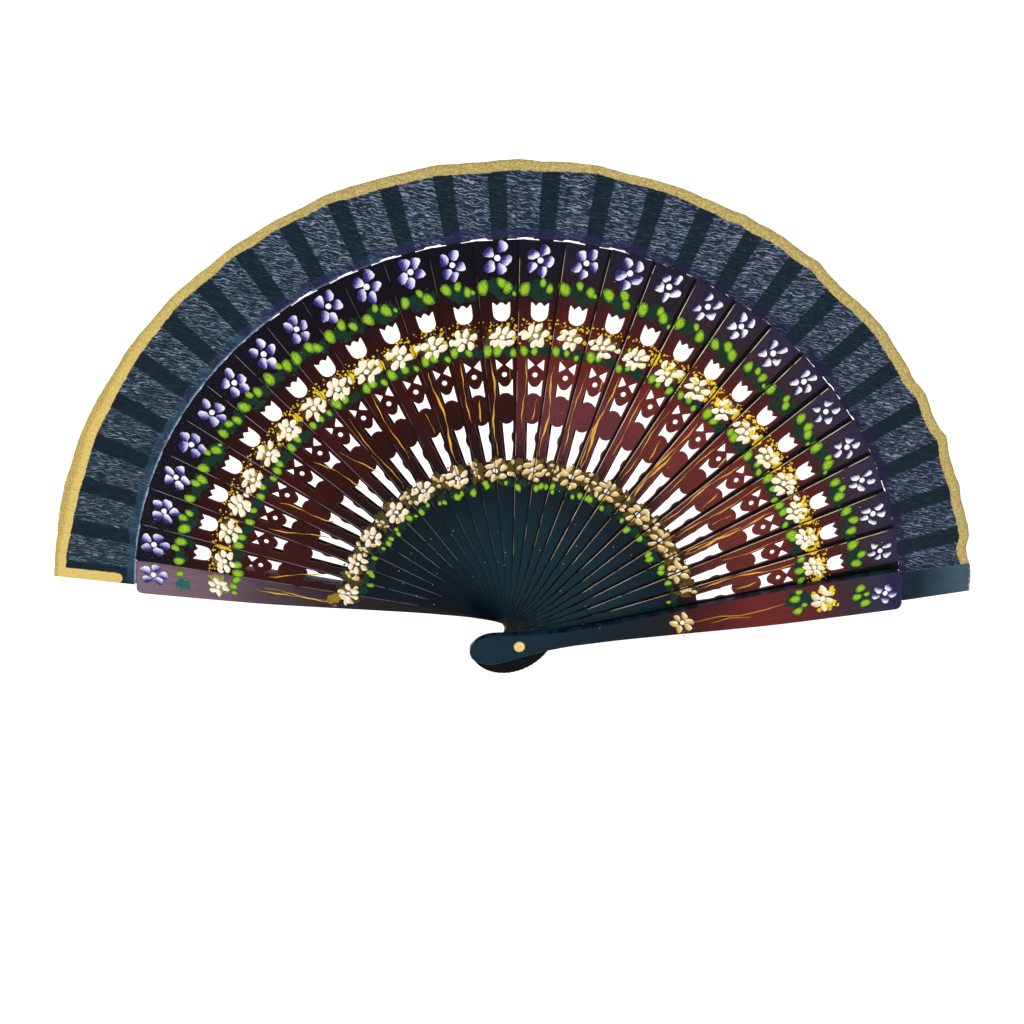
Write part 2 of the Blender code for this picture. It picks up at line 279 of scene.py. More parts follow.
def cloth():
    """Thin dark cotton: painted light in pale streaks where light shows through the unbacked weave, a dark band over
    each slip, and a gold painted rim.
    """
    m = Nodes("leaf_cotton", 0.8, 0.0, 0.10)
    fan = m.split(m.attribute("fan").outputs["Vector"])
    a, r, k = fan[0], fan[1], fan[2]
    round_ = m.math("ADD", m.math("MULTIPLY", k, PITCH), a)
    across = m.math("MULTIPLY", round_, 3.32)
    tilt = m.math("ADD", r, m.math("MULTIPLY", across, 0.16))
    wave = m.noise(m.join(m.math("MULTIPLY", across, 0.28), m.math("MULTIPLY", r, 0.28), k), 1.0, 2.0, 0.5)
    tilt = m.math("ADD", tilt, m.math("MULTIPLY", wave, 3.0))
    # light comes through the weave in fine level wisps, wherever on the fan the pleat is
    place = m.split(m.node("ShaderNodeTexCoord").outputs["Object"])
    px, pz = m.math("MULTIPLY", place[0], 1000.0), m.math("MULTIPLY", place[2], 1000.0)
    level = m.math("ADD", m.math("ADD", pz, m.math("MULTIPLY", px, 0.20)), m.math("MULTIPLY", wave, 2.4))
    def wisps(spacing, bend, run, seed, lo, hi):
        drift = m.noise(m.join(m.math("MULTIPLY", px, 0.13), m.math("MULTIPLY", level, 0.42), m.math("ADD", m.math("MULTIPLY", k, 5.0), seed)), 1.0, 2.0, 0.6)
        rows = m.math("FRACT", m.math("ADD", m.math("DIVIDE", level, spacing), m.math("MULTIPLY", drift, bend)))
        ridge = m.math("MULTIPLY", m.math("ABSOLUTE", m.math("SUBTRACT", rows, 0.5)), 2.0)
        cut = m.noise(m.join(m.math("MULTIPLY", px, run), m.math("MULTIPLY", level, 1.5), m.math("ADD", m.math("MULTIPLY", k, 3.0), seed + 4.0)), 1.0, 2.0, 0.6)
        return m.math("MULTIPLY", m.span(ridge, 0.58, 0.94), m.span(cut, lo, hi), clamp=True)
    light_wisps = m.math("MAXIMUM", wisps(1.25, 3.6, 0.19, 0.0, 0.43, 0.55), m.math("MULTIPLY", wisps(0.80, 3.0, 0.28, 20.0, 0.49, 0.61), 0.75))
    cross = m.noise(m.join(m.math("MULTIPLY", px, 0.13), m.math("MULTIPLY", level, 0.22), m.math("MULTIPLY", k, 9.0)), 1.0, 3.0, 0.6)
    amount = m.math("MULTIPLY", m.span(k, 4.0, 9.0, 0.25, 1.0), m.span(k, 18.0, 24.0, 1.0, 0.35))
    streak = m.math("MULTIPLY", light_wisps, m.span(cross, 0.36, 0.62, amount, 1.0), clamp=True)
    # painted light: the unbacked bands of each pleat are lighter, as light shows through the cloth there, while the
    # slip behind the cloth keeps one band of each pleat dark
    band = m.math("MULTIPLY", m.span(a, 0.85, 1.10, 0.0, 1.0, True), m.span(a, 4.80, 4.97, 1.0, 0.0, True))
    slip = m.attribute("backed").outputs["Fac"]
    open_ = m.math("MULTIPLY", band, m.math("SUBTRACT", 1.0, slip), clamp=True)
    patchy = m.noise(m.join(across, m.math("MULTIPLY", r, 0.8), 4.0), 0.16, 2.0, 0.5)
    dark = m.mix(patchy, rgb("#091720"), rgb("#10212b"))
    thin = m.mix(patchy, rgb("#101e29"), rgb("#1b2d3b"))
    lines = m.mix(m.math("MULTIPLY", streak, 0.76, clamp=True), thin, m.mix(m.span(k, 5.0, 12.0), rgb("#95a9b9"), rgb("#989ebb")))
    base = m.mix(open_, dark, lines)
    # the same painted light wisps, fainter, over the slips' bands
    faint = m.math("MULTIPLY", m.math("SUBTRACT", 1.0, open_), m.math("MULTIPLY", streak, 0.14))
    base = m.mix(faint, base, rgb("#5d6c7a"))
    # painted shade along the fold lines
    fold_shade = m.math("ABSOLUTE", m.math("SUBTRACT", a, 1.97))
    base = m.mix(m.span(fold_shade, 0.03, 0.11, 0.50, 0.0), base, rgb("#0c161d"))
    # purple-blue paint caught along the lower edge
    low = m.noise(m.join(m.math("MULTIPLY", across, 0.14), m.math("MULTIPLY", r, 0.2), 2.0), 1.0, 3.0, 0.6)
    reach = m.math("ADD", 177.4, m.math("MULTIPLY", low, 4.4))
    brushed = m.noise(m.join(m.math("MULTIPLY", across, 0.35), m.math("MULTIPLY", r, 2.2), 8.0), 1.0, 3.0, 0.65)
    reach = m.math("ADD", reach, m.math("MULTIPLY", brushed, 2.6))
    smear = m.span(m.math("SUBTRACT", reach, r), 0.6, 1.5)
    teal = m.mix(m.span(brushed, 0.35, 0.65), rgb("#1d3347"), rgb("#33506a"))
    plum = m.mix(m.span(brushed, 0.35, 0.65), rgb("#12152c"), m.mix(m.span(k, 13.0, 18.0), rgb("#2e2c5c"), rgb("#1f1c3a")))
    patch = m.noise(m.join(m.math("MULTIPLY", across, 0.10), m.math("MULTIPLY", r, 0.15), 14.0), 1.0, 2.0, 0.6)
    base = m.mix(m.math("MULTIPLY", smear, m.span(patch, 0.38, 0.60, 0.35, 0.88)), base, m.mix(m.span(m.math("ADD", low, m.math("MULTIPLY", k, 0.03)), 0.62, 0.80), teal, plum))
    # on the far left a pale dry-brushed line runs along the lower edge
    dry = m.noise(m.join(m.math("MULTIPLY", across, 0.9), m.math("MULTIPLY", r, 1.6), 5.0), 1.0, 3.0, 0.65)
    pale = m.math("MULTIPLY", m.span(k, 11.0, 6.0, 0.0, 1.0), m.span(m.math("ADD", r, m.math("MULTIPLY", dry, 3.0)), 177.9, 178.3, 1.0, 0.0), clamp=True)
    base = m.mix(m.math("MULTIPLY", pale, m.span(dry, 0.38, 0.56, 0.25, 0.95)), base, rgb("#93a5bd"))
    # the plain tongue past the front guard turns a paler grey-blue toward its end
    tongue = m.math("MULTIPLY", m.span(k, 26.4, 26.8), m.span(r, 184.0, 205.0, 0.04, 0.80), clamp=True)
    base = m.mix(m.math("MULTIPLY", tongue, m.span(patchy, 0.3, 0.7, 0.75, 1.0)), base, rgb("#45596a"))
    # gold rim
    edge_noise = m.noise(m.join(across, m.math("MULTIPLY", r, 0.4), 7.0), 0.75, 3.0, 0.6)
    inner = m.math("ADD", m.attribute("rim").outputs["Fac"], m.math("MULTIPLY", m.math("SUBTRACT", edge_noise, 0.5), 1.1))
    gold_part = m.span(m.math("SUBTRACT", r, inner), -0.10, 0.12)
    end_strip = m.math("ADD", m.attribute("gold_end").outputs["Fac"], m.math("MULTIPLY", m.math("SUBTRACT", edge_noise, 0.5), 0.9))
    gold_part = m.math("MAXIMUM", gold_part, m.span(end_strip, -0.10, 0.12))
    gold_part = m.math("MULTIPLY", gold_part, m.math("SUBTRACT", 1.0, m.attribute("no_gold").outputs["Fac"]), clamp=True)
    tip = m.noise(m.join(m.math("MULTIPLY", across, 1.0), m.math("MULTIPLY", r, 0.5), 9.0), 1.1, 3.0, 0.65)
    tip_gold = m.math("MULTIPLY", m.attribute("no_gold").outputs["Fac"], m.span(m.math("ADD", m.math("SUBTRACT", r, 208.5), m.math("MULTIPLY", tip, 4.4)), 2.0, 2.4), clamp=True)
    gold_part = m.math("MAXIMUM", gold_part, tip_gold)
    dab = m.noise(m.join(across, m.math("MULTIPLY", r, 1.4), 1.0), 0.9, 4.0, 0.7)
    gold = m.ramp(dab, [(0.26, rgb("#7a6739")), (0.42, rgb("#a28e52")), (0.55, rgb("#b7a666")), (0.74, rgb("#d9cc9c"))])
    bright = m.math("MULTIPLY", m.span(k, 9.0, 3.0, 0.0, 0.75), m.span(dab, 0.25, 0.5, 0.5, 1.0), clamp=True)
    gold = m.mix(bright, gold, rgb("#dfc46e"))
    fleck = m.noise(m.join(across, m.math("MULTIPLY", r, 1.1), 3.0), 2.3, 3.0, 0.6)
    gold = m.mix(m.span(fleck, 0.56, 0.68, 0.0, 0.70), gold, rgb("#6a5122"))
    grit = m.noise(m.join(across, m.math("MULTIPLY", r, 1.0), 6.0), 4.5, 2.0, 0.6)
    gold = m.mix(m.span(grit, 0.55, 0.66, 0.0, 0.35), gold, rgb("#5c431a"))
    far = m.math("SUBTRACT", r, m.attribute("rim").outputs["Fac"])
    gold = m.mix(m.math("MULTIPLY", m.span(far, 2.6, 4.2, 0.0, 0.6), m.span(fleck, 0.40, 0.56), clamp=True), gold, rgb("#6b5224"))
    # painted shade across the gold rim at each fold
    gold_fold_shade = m.math("ADD", m.span(m.math("ABSOLUTE", m.math("SUBTRACT", a, 1.97)), 0.02, 0.09, 0.30, 0.0), m.span(m.math("ABSOLUTE", m.math("SUBTRACT", a, 0.0 + 4.97)), 0.01, 0.07, 0.30, 0.0))
    gold = m.mix(gold_fold_shade, gold, rgb("#7c6026"))
    base = m.mix(gold_part, base, gold)
    m.colour(base)
    m.rough(m.span(gold_part, 0.0, 1.0, 0.85, 0.46))
    m.put(m.bsdf.inputs["Metallic"], m.math("MULTIPLY", gold_part, 0.25))
    weave = m.node("ShaderNodeTexWave", wave_type="BANDS", bands_direction="X")
    m.link(m.join(across, r, 0.0), weave.inputs["Vector"])
    weave.inputs["Scale"].default_value = 1.3
    weft = m.node("ShaderNodeTexWave", wave_type="BANDS", bands_direction="Y")
    m.link(m.join(across, r, 0.0), weft.inputs["Vector"])
    weft.inputs["Scale"].default_value = 1.3
    cloth_height = m.math("ADD", m.math("MULTIPLY", weave.outputs["Fac"], 0.3), m.math("MULTIPLY", weft.outputs["Fac"], 0.3))
    m.bump(m.math("ADD", m.math("ADD", cloth_height, m.math("MULTIPLY", streak, 0.5)), m.math("MULTIPLY", dab, gold_part)), 0.35, 0.00012)
    return m.mat


def paint_material():
    """Thick glossy hand-painted enamel: colour from the brush, with fine streaks and pitting."""
    m = Nodes("enamel_paint", 0.34, 0.0, 0.10)
    c = m.attribute("paint").outputs["Color"]
    fan = m.split(m.attribute("fan").outputs["Vector"])
    here = m.join(fan[0], fan[1], m.math("MULTIPLY", fan[2], 3.0))
    streak = m.noise(m.join(m.math("MULTIPLY", m.math("ADD", fan[0], fan[1]), 2.6), m.math("MULTIPLY", m.math("SUBTRACT", fan[0], fan[1]), 0.6), fan[2]), 1.0, 3.0, 0.6)
    base = m.mix(m.span(streak, 0.50, 0.72, 0.0, 0.45), c, m.mix(0.62, c, (0.02, 0.015, 0.03, 1.0)))
    lift = m.mix(1.0, base, (1.5, 1.5, 1.5, 1.0), "MULTIPLY")
    base = m.mix(m.span(streak, 0.28, 0.44, 0.5, 0.0), base, lift)
    m.colour(base)
    pits = m.noise(here, 3.2, 3.0, 0.6)
    m.rough(m.span(pits, 0.3, 0.7, 0.26, 0.46))
    m.bump(m.math("ADD", streak, m.math("MULTIPLY", pits, 0.6)), 0.4, 0.00010)
    return m.mat


def brass_material():
    m = Nodes("rivet_brass_metal", 0.3, 0.55)
    where = m.node("ShaderNodeTexCoord").outputs["Object"]
    tarnish = m.noise(where, 900.0, 3.0, 0.6)
    m.colour(m.mix(m.span(tarnish, 0.45, 0.70), rgb("#ecc983"), rgb("#c19448")))
    m.rough(m.span(tarnish, 0.35, 0.7, 0.22, 0.48))
    m.bump(m.noise(where, 2600.0, 2.0, 0.5), 0.15, 0.00003)
    return m.mat


def thread_material():
    m = Nodes("frayed_thread", 0.8, 0.0, 0.2)
    where = m.node("ShaderNodeTexCoord").outputs["Object"]
    m.colour(m.mix(m.noise(where, 700.0, 2.0), rgb("#1c2d44"), rgb("#a9a08c")))
    return m.mat


CLOTH = cloth()
PAINT = paint_material()
BRASS = brass_material()
THREAD = thread_material()


# ------------------------------------------------------------------ the fan's own coordinates
def direction(k):
    return math.radians(REAR_DEG - PITCH * k)


def layer(k):
    return STICKS / 2 + 0.5 - k


def at(k, u, r, y):
    """The point u across and r out on member k, y from its layer's middle, in metres."""
    d = direction(k)
    return Vector((u * math.sin(d) + r * math.cos(d), layer(k) + y, -u * math.cos(d) + r * math.sin(d))) * MM


def carry(k, u, r, to):
    """The same place across and out, given on member k, as member to has it."""
    turn = math.radians(PITCH * (to - k))
    return (u * math.cos(turn) - r * math.sin(turn), u * math.sin(turn) + r * math.cos(turn))


def link_object(name, me):
    ob = bpy.data.objects.new(name, me)
    scene.collection.objects.link(ob)
    return ob


def set_attribute(me, name, kind, domain, values):
    a = me.attributes.new(name, kind, domain)
    flat = []
    if kind == "FLOAT":
        flat = values
    else:
        for v in values:
            flat.extend(v)
    a.data.foreach_set({"FLOAT": "value", "FLOAT_VECTOR": "vector", "FLOAT_COLOR": "color"}[kind], flat)


def sheen_and_tone_of(k):
    """How much of the lighter lacquer ramp a member takes: the sticks right of the middle are a redder, lighter brown,
    painted sheen where their lacquer catches the light; the rear guard takes the lighter ramp whole.
    """
    if k == 0:
        return 1.0
    if k == FRONT:
        return 0.0
    steps = {1: 0.10, 2: 0.12, 3: 0.06, 4: 0.12, 5: 0.04, 6: 0.02, 7: 0.08, 8: 0.0, 9: 0.02, 10: 0.06, 11: 0.0, 12: 0.05}
    if k in steps:
        return steps[k]
    return [0.05, 0.50, 0.9, 0.88, 0.70, 0.94, 0.80, 1.0, 0.72, 0.90, 0.82, 0.96, 0.78, 0.9][k - 13]


def smooth_loop(points, n=5, keep=()):
    """A closed line of points made rounder by a spline through them, with corners kept where their index is in keep."""
    out, count = [], len(points)
    for i in range(count):
        p0, p1, p2, p3 = (Vector(points[(i + j) % count]) for j in (-1, 0, 1, 2))
        if i in keep:
            p0 = p1
        if (i + 1) % count in keep:
            p3 = p2
        for s in range(n):
            t = s / n
            out.append(tuple(0.5 * ((2 * p1) + (p2 - p0) * t + (2 * p0 - 5 * p1 + 4 * p2 - p3) * t * t + (3 * p1 - p0 - 3 * p2 + p3) * t ** 3)))
    return out


def plate(name, k, loops, y0, y1, bevel, material, res=2):
    """A flat piece of member k with rounded edges: loops of (u, r), the first outside and the others holes."""
    cu = bpy.data.curves.new(name + "_outline", "CURVE")
    cu.dimensions = "2D"
    cu.fill_mode = "BOTH"
    cu.extrude = (y1 - y0) / 2 - bevel
    cu.bevel_depth = bevel
    cu.bevel_resolution = res
    cu.offset = -bevel
    for points in loops:
        sp = cu.splines.new("POLY")
        sp.points.add(len(points) - 1)
        for p, (u, r) in zip(sp.points, points):
            p.co = (u, r, 0.0, 1.0)
        sp.use_cyclic_u = True
    tmp = link_object(name + "_outline", cu)
    bpy.context.view_layer.update()
    me = bpy.data.meshes.new_from_object(tmp.evaluated_get(bpy.context.evaluated_depsgraph_get()))
    bpy.data.objects.remove(tmp, do_unlink=True)
    bm = bmesh.new()
    bm.from_mesh(me)
    bmesh.ops.remove_doubles(bm, verts=bm.verts, dist=0.0008)
    bmesh.ops.recalc_face_normals(bm, faces=bm.faces)
    flat_faces = set(f for f in bm.faces if abs(f.normal.z) > 0.995)
    for f in bm.faces:
        f.smooth = f not in flat_faces
    for e in bm.edges:
        faces = e.link_faces
        if any(f in flat_faces for f in faces) or (len(faces) == 2 and faces[0].normal.angle(faces[1].normal, 0.0) > 0.75):
            e.smooth = False
    wall = [0.0 if f in flat_faces else min(1.0, 1.15 - abs(f.normal.z)) for f in bm.faces]
    bm.to_mesh(me)
    bm.free()
    middle = (y0 + y1) / 2
    fan = [(v.co.x, v.co.y, float(k)) for v in me.vertices]
    for v in me.vertices:
        v.co = at(k, v.co.x, v.co.y, middle - v.co.z)
    set_attribute(me, "fan", "FLOAT_VECTOR", "POINT", fan)
    set_attribute(me, "wall", "FLOAT", "FACE", wall)
    set_attribute(me, "sheen_and_tone", "FLOAT", "POINT", [sheen_and_tone_of(k)] * len(fan))
    me.materials.clear()
    me.materials.append(material)
    return link_object(name, me)


# ------------------------------------------------------------------ sticks
HEAD_LEFT = [(-20.6, 4.0), (-17.4, 6.2), (-12.5, 7.3), (-5.0, 6.5), (3.0, 5.3), (11.0, 4.45), (22.0, 3.9)]
SLANT = -0.0055


def head_curve(side):
    """The rounded head's side from its end to the neck, as a spline through its widths."""
    pts = [(-22.6, 0.0), (-22.15, 2.3)] + HEAD_LEFT + [(34.0, 4.2)]
    out = []
    for i in range(1, len(pts) - 2):
        p0, p1, p2, p3 = (Vector(pts[j]) for j in (i - 1, i, i + 1, i + 2))
        for s in range(4):
            t = s / 4
            q = 0.5 * ((2 * p1) + (p2 - p0) * t + (2 * p0 - 5 * p1 + 4 * p2 - p3) * t * t + (3 * p1 - p0 - 3 * p2 + p3) * t ** 3)
            out.append((side * q[1], q[0]))
    out.append((side * HEAD_LEFT[-1][1], HEAD_LEFT[-1][0]))
    return out


def ring(u, r, radius, n):
    return [(u + radius * math.cos(2 * math.pi * i / n), r + radius * math.sin(2 * math.pi * i / n)) for i in range(n)]


def mirrored(points):
    return points + [(-u, r) for u, r in points[::-1] if u > 1e-9]


def leaning(points):
    return [(u + SLANT * r, r) for u, r in points]


def stick_loops(k):
    rnd = random.Random(100 + k)
    top = 175.6 if k in GAPPED else 175.83
    left = head_curve(-1) + [(-(2.55 + 0.0486 * r), r) for r in (34.0, 80.0, 130.0, 174.9)] + [(-(2.55 + 0.0486 * 175.6) + 0.6, top)]
    right = head_curve(1) + [(3.0 + 0.053 * 34.0, 34.0), (6.95, 75.0), (9.1, 115.0), (10.45, 174.9), (9.9, top)]
    outer = [(0.0, -22.6)] + right + left[::-1]
    j = lambda s: rnd.uniform(-s, s)
    tulip = [(0.0, 151.1 + j(0.25)), (0.5, 150.95), (1.7, 149.7 + j(0.2)), (2.2, 150.1), (3.45, 151.15), (3.6, 150.9), (3.62, 148.5), (3.45, 146.2), (3.1, 145.1), (2.4, 144.2), (1.3, 143.55), (0.0, 143.3)]
    tri = [(0.75, 125.1), (0.8, 125.35), (3.4, 127.6), (3.5, 127.5), (3.5, 123.0), (3.4, 122.9), (0.8, 124.9)]
    bow = [(0.0, 115.75), (0.8, 115.85), (1.5, 116.3), (2.3, 117.3), (3.2, 118.9), (3.35, 118.7), (3.2, 115.5), (3.15, 111.9), (3.0, 111.8), (2.3, 112.2), (1.6, 112.8), (0.8, 113.05), (0.0, 113.1)]
    slot = [(0.0, 99.4), (1.3, 99.7), (2.1, 100.2), (2.6, 100.75), (2.75, 100.6), (2.65, 98.0), (2.55, 96.2), (2.1, 95.2), (1.75, 94.4), (1.7, 92.6), (2.05, 91.6), (2.3, 90.6), (2.15, 88.5), (1.75, 85.5), (1.45, 83.2), (1.1, 83.0)]
    loops = [outer, ring(0.0, 0.0, 1.8, 32), leaning(mirrored(tulip))]
    loops += [leaning([(side * u, r) for u, r in tri]) for side in (1, -1)]
    loops += [[(u + SLANT * 121.0, r) for u, r in ring(0.0, 121.0, 1.05, 20)], leaning(mirrored(bow)), leaning(mirrored(slot))]
    return loops


# the sticks beside which the cloth's lower edge stands clear of the shoulders
GAPPED = (8, 9, 10, 11, 12, 13, 14, 15, 21, 22, 24)

sticks = []
slips = []
for k in range(1, STICKS + 1):
    ob = plate(f"stick_{k:02d}_blade", k, stick_loops(k), -0.4, 0.4, 0.09, STICK_PAINT, 1)
    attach(ob, BODY[k])
    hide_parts(f"stick_{k:02d}")
    sticks.append(ob)
    slip = plate(f"stick_{k:02d}_slip", k, [[(-3.15, 174.8), (-3.8, 200.8), (-3.5, 201.6), (-2.4, 202.1), (2.2, 202.1), (3.0, 201.7), (3.3, 200.9), (2.65, 174.8)]], 0.05, 0.35, 0.05, STICK_PAINT, 1)
    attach(slip, BODY[k])
    slips.append(slip)

# ------------------------------------------------------------------ guards
GUARD_SIDE = [(33.0, 4.1), (46.0, 4.5), (73.0, 6.0), (100.0, 7.6), (122.0, 8.65), (150.0, 9.3), (172.6, 9.72)]


def guard_loop():
    half = []
    pts = [(-22.6, 0.0), (-22.15, 2.3)] + HEAD_LEFT + GUARD_SIDE + [(173.2, 9.74)]
    for i in range(1, len(pts) - 2):
        p0, p1, p2, p3 = (Vector(pts[j]) for j in (i - 1, i, i + 1, i + 2))
        n = 4 if i < 9 else 3
        for s in range(n):
            t = s / n
            q = 0.5 * ((2 * p1) + (p2 - p0) * t + (2 * p0 - 5 * p1 + 4 * p2 - p3) * t * t + (3 * p1 - p0 - 3 * p2 + p3) * t ** 3)
            half.append((q[1], q[0]))
    half += [(9.72, 172.6), (9.66, 173.45), (9.40, 174.25), (8.90, 174.95), (8.2, 175.45), (7.2, 175.7)]
    return [(0.0, -22.6)] + half + [(-u, r) for u, r in half[::-1]]


rear = plate("rear_guard_body", 0, [guard_loop(), ring(0, 0, 1.8, 32)], 0.05, 3.85, 0.34, GUARD_PAINT, 3)
rear_tongue = plate("rear_guard_tongue", 0, [[(-5.0, 171.0), (-5.0, 204.2), (-4.6, 204.9), (-3.9, 205.2), (4.9, 205.2), (5.6, 204.9), (6.0, 204.2), (6.0, 171.0)]], 0.15, 1.65, 0.2, GUARD_PAINT, 2)
front = plate("front_guard_body", FRONT, [guard_loop(), ring(0, 0, 1.8, 32)], -3.4, 0.4, 0.34, GUARD_PAINT, 3)
front_tongue = plate("front_guard_tongue", FRONT, [[(-6.9, 171.0), (-6.9, 206.8), (-6.5, 207.7), (-5.8, 208.0), (5.8, 208.0), (6.5, 207.7), (6.9, 206.8), (6.9, 171.0)]], -0.5, 0.3, 0.15, GUARD_PAINT, 2)
for ob, b in ((rear, 0), (rear_tongue, 0), (front, FRONT), (front_tongue, FRONT)):
    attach(ob, BODY[b])
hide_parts("rear_guard")
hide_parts("front_guard")


# ------------------------------------------------------------------ rivet and washer
def lathe(name, profile, n, body, material, slot, *nodes):
    """A turned piece on the rivet's axis: profile of (radius, y) in mm, closed on itself."""
    verts, faces = [], []
    for i in range(n):
        a = 2 * math.pi * i / n
        for radius, y in profile:
            verts.append(Vector((radius * math.cos(a), y, radius * math.sin(a))) * MM)
    m = len(profile)
    for i in range(n):
        for j in range(m):
            faces.append((i * m + j, i * m + (j + 1) % m, ((i + 1) % n) * m + (j + 1) % m, ((i + 1) % n) * m + j))
    me = bpy.data.meshes.new(name)
    me.from_pydata(verts, [], faces)
    bm = bmesh.new()
    bm.from_mesh(me)
    bmesh.ops.remove_doubles(bm, verts=bm.verts, dist=0.000004)
    bmesh.ops.dissolve_degenerate(bm, edges=bm.edges, dist=0.000002)
    bmesh.ops.recalc_face_normals(bm, faces=bm.faces)
    for f in bm.faces:
        f.smooth = True
    for e in bm.edges:
        if len(e.link_faces) == 2 and e.link_faces[0].normal.angle(e.link_faces[1].normal, 0.0) > 0.6:
            e.smooth = False
    bm.to_mesh(me)
    bm.free()
    me.materials.append(material)
    ob = link_object(name, me)
    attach(ob, body)
    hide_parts(*nodes)
    return ob


lo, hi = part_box("rivet")
y_front, y_back = lo.y / MM, hi.y / MM
dome = [(0.0, y_front + 0.42), (0.35, y_front + 0.40), (0.62, y_front + 0.30), (0.78, y_front + 0.12), (0.95, y_front + 0.02), (1.2, y_front)]
dome += [(1.2 + 1.4 * math.sin(t * math.pi / 2), y_front + 1.5 * (1 - math.cos(t * math.pi / 2))) for t in (0.25, 0.45, 0.62, 0.78, 0.9, 1.0)]
dome = [(q, min(y, -16.96)) for q, y in dome] + [(2.5, -16.93), (1.45, -16.93)]
washer_lo, washer_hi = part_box("rivet_washer")
wy0, wy1 = washer_lo.y / MM, washer_hi.y / MM
peen = [(1.45, wy1 + 0.03), (2.2, wy1 + 0.04), (2.42, wy1 + 0.2), (2.35, wy1 + 0.5), (2.0, wy1 + 0.78), (1.5, min(y_back, wy1 + 0.98)), (0.9, min(y_back, wy1 + 1.06)), (0.0, min(y_back, wy1 + 1.08))]
lathe("rivet_pin", dome + peen, 64, BODY[0], BRASS, "rivet_brass", "rivet")
lathe("rivet_washer_ring", [(1.75, wy0 + 0.05), (1.8, wy0), (3.1, wy0), (3.2, wy0 + 0.08), (3.2, wy1 - 0.12), (3.08, wy1), (1.85, wy1), (1.75, wy1 - 0.06)], 56, BODY[0], BRASS, "rivet_brass", "rivet_washer")

# ------------------------------------------------------------------ the leaf
LEFT_FOLD, RIGHT_FOLD = -1.09, 1.97
NEXT_FOLD = LEFT_FOLD + PITCH
CLOTH_T = 0.2


def wobble(x, seed):
    """Smooth deterministic noise in one number."""
    i = math.floor(x)
    t = x - i
    v = [random.Random(int(seed * 7919 + (i + j) * 104729)).uniform(-1, 1) for j in (0, 1)]
    t = t * t * (3 - 2 * t)
    return v[0] * (1 - t) + v[1] * t


# by angle in degrees: how far the rim stands out past 206 mm, and how wide its gold is
RIM_SWELL = [(-6, 6.0), (2, 5.4), (10, 4.4), (20, 2.9), (35, 1.7), (50, 0.8), (65, 0.1), (80, -0.4), (95, -0.5), (120, -0.2), (140, 0.8), (155, 2.2), (160.5, 2.6), (163.7, 4.0), (172, 4.2)]
RIM_WIDTH = [(-6, 4.8), (2, 5.0), (9, 6.4), (20, 6.2), (30, 5.0), (38, 4.0), (48, 3.4), (60, 3.7), (75, 4.2), (90, 3.2), (110, 4.2), (140, 4.4), (166, 4.4)]


def between(x, table):
    """The value at x on the straight lines joining a table's points."""
    for (x0, y0), (x1, y1) in zip(table, table[1:]):
        if x <= x1:
            return y0 + (y1 - y0) * max(0.0, (x - x0) / (x1 - x0))
    return table[-1][1]


def outer_edge(phi):
    """Radius of the leaf's rim at phi degrees clockwise from the rear guard."""
    base = 206.0 + 0.10 * wobble(phi / 1.1, 2) + between(phi, RIM_SWELL) + 0.55 * wobble(phi / 1.7, 11) * smoothstep((phi - 92.0) / 20.0) * smoothstep((163.0 - phi) / 4.0)
    # each face of a pleat is cut straight, with a small corner or step at its folds
    n = math.floor((phi - LEFT_FOLD) / PITCH)
    x = phi - LEFT_FOLD - n * PITCH
    wide = RIGHT_FOLD - LEFT_FOLD
    corner = lambda i: random.Random(31 * i + 5).uniform(-0.55, 0.45) * (1.0 + 0.9 * smoothstep((i * PITCH / 2 - 95.0) / 40.0))
    if x < wide:
        t, i = x / wide, 2 * n
    else:
        t, i = (x - wide) / (PITCH - wide), 2 * n + 1
    return base + corner(i) * (1 - t) + corner(i + 1) * t


def gold_inner(phi):
    """Radius where the gold rim starts."""
    return outer_edge(phi) - between(phi, RIM_WIDTH) + 0.30 * wobble(phi / 3.3, 5) + 0.16 * wobble(phi / 0.8, 6)


def smoothstep(t):
    t = max(0.0, min(1.0, t))
    return t * t * (3 - 2 * t)


def cloth_y(a, k):
    """How far the cloth lies from the layer's middle, by the angle from the stick's axis."""
    lean = 0.03 * math.sin(a * 2.1 + k)
    if a <= 1.5:
        return -0.175
    if a <= RIGHT_FOLD:
        return -0.175 - 0.20 * smoothstep((a - 1.5) / (RIGHT_FOLD - 1.5))
    y = -0.375 - 0.085 * smoothstep((a - RIGHT_FOLD) / 0.4) + lean * smoothstep((a - 2.3) / 0.5) * smoothstep((4.4 - a) / 0.5)
    return y - 0.715 * smoothstep((a - 4.56) / (NEXT_FOLD - 4.56))


def lower_edge(a, k):
    """Radius of the leaf's lower edge, a little clear of the shoulders between the sticks."""
    lift = 0.0
    if k in GAPPED:
        lift = (0.56 if k < 20 else 0.34) * smoothstep((a - 2.0) / 0.25) * smoothstep(((4.4 if k < 20 else 3.5) - a) / 0.2)
    return 175.95 + lift + 0.08 * math.sin(a * 3.3 + k * 1.7)


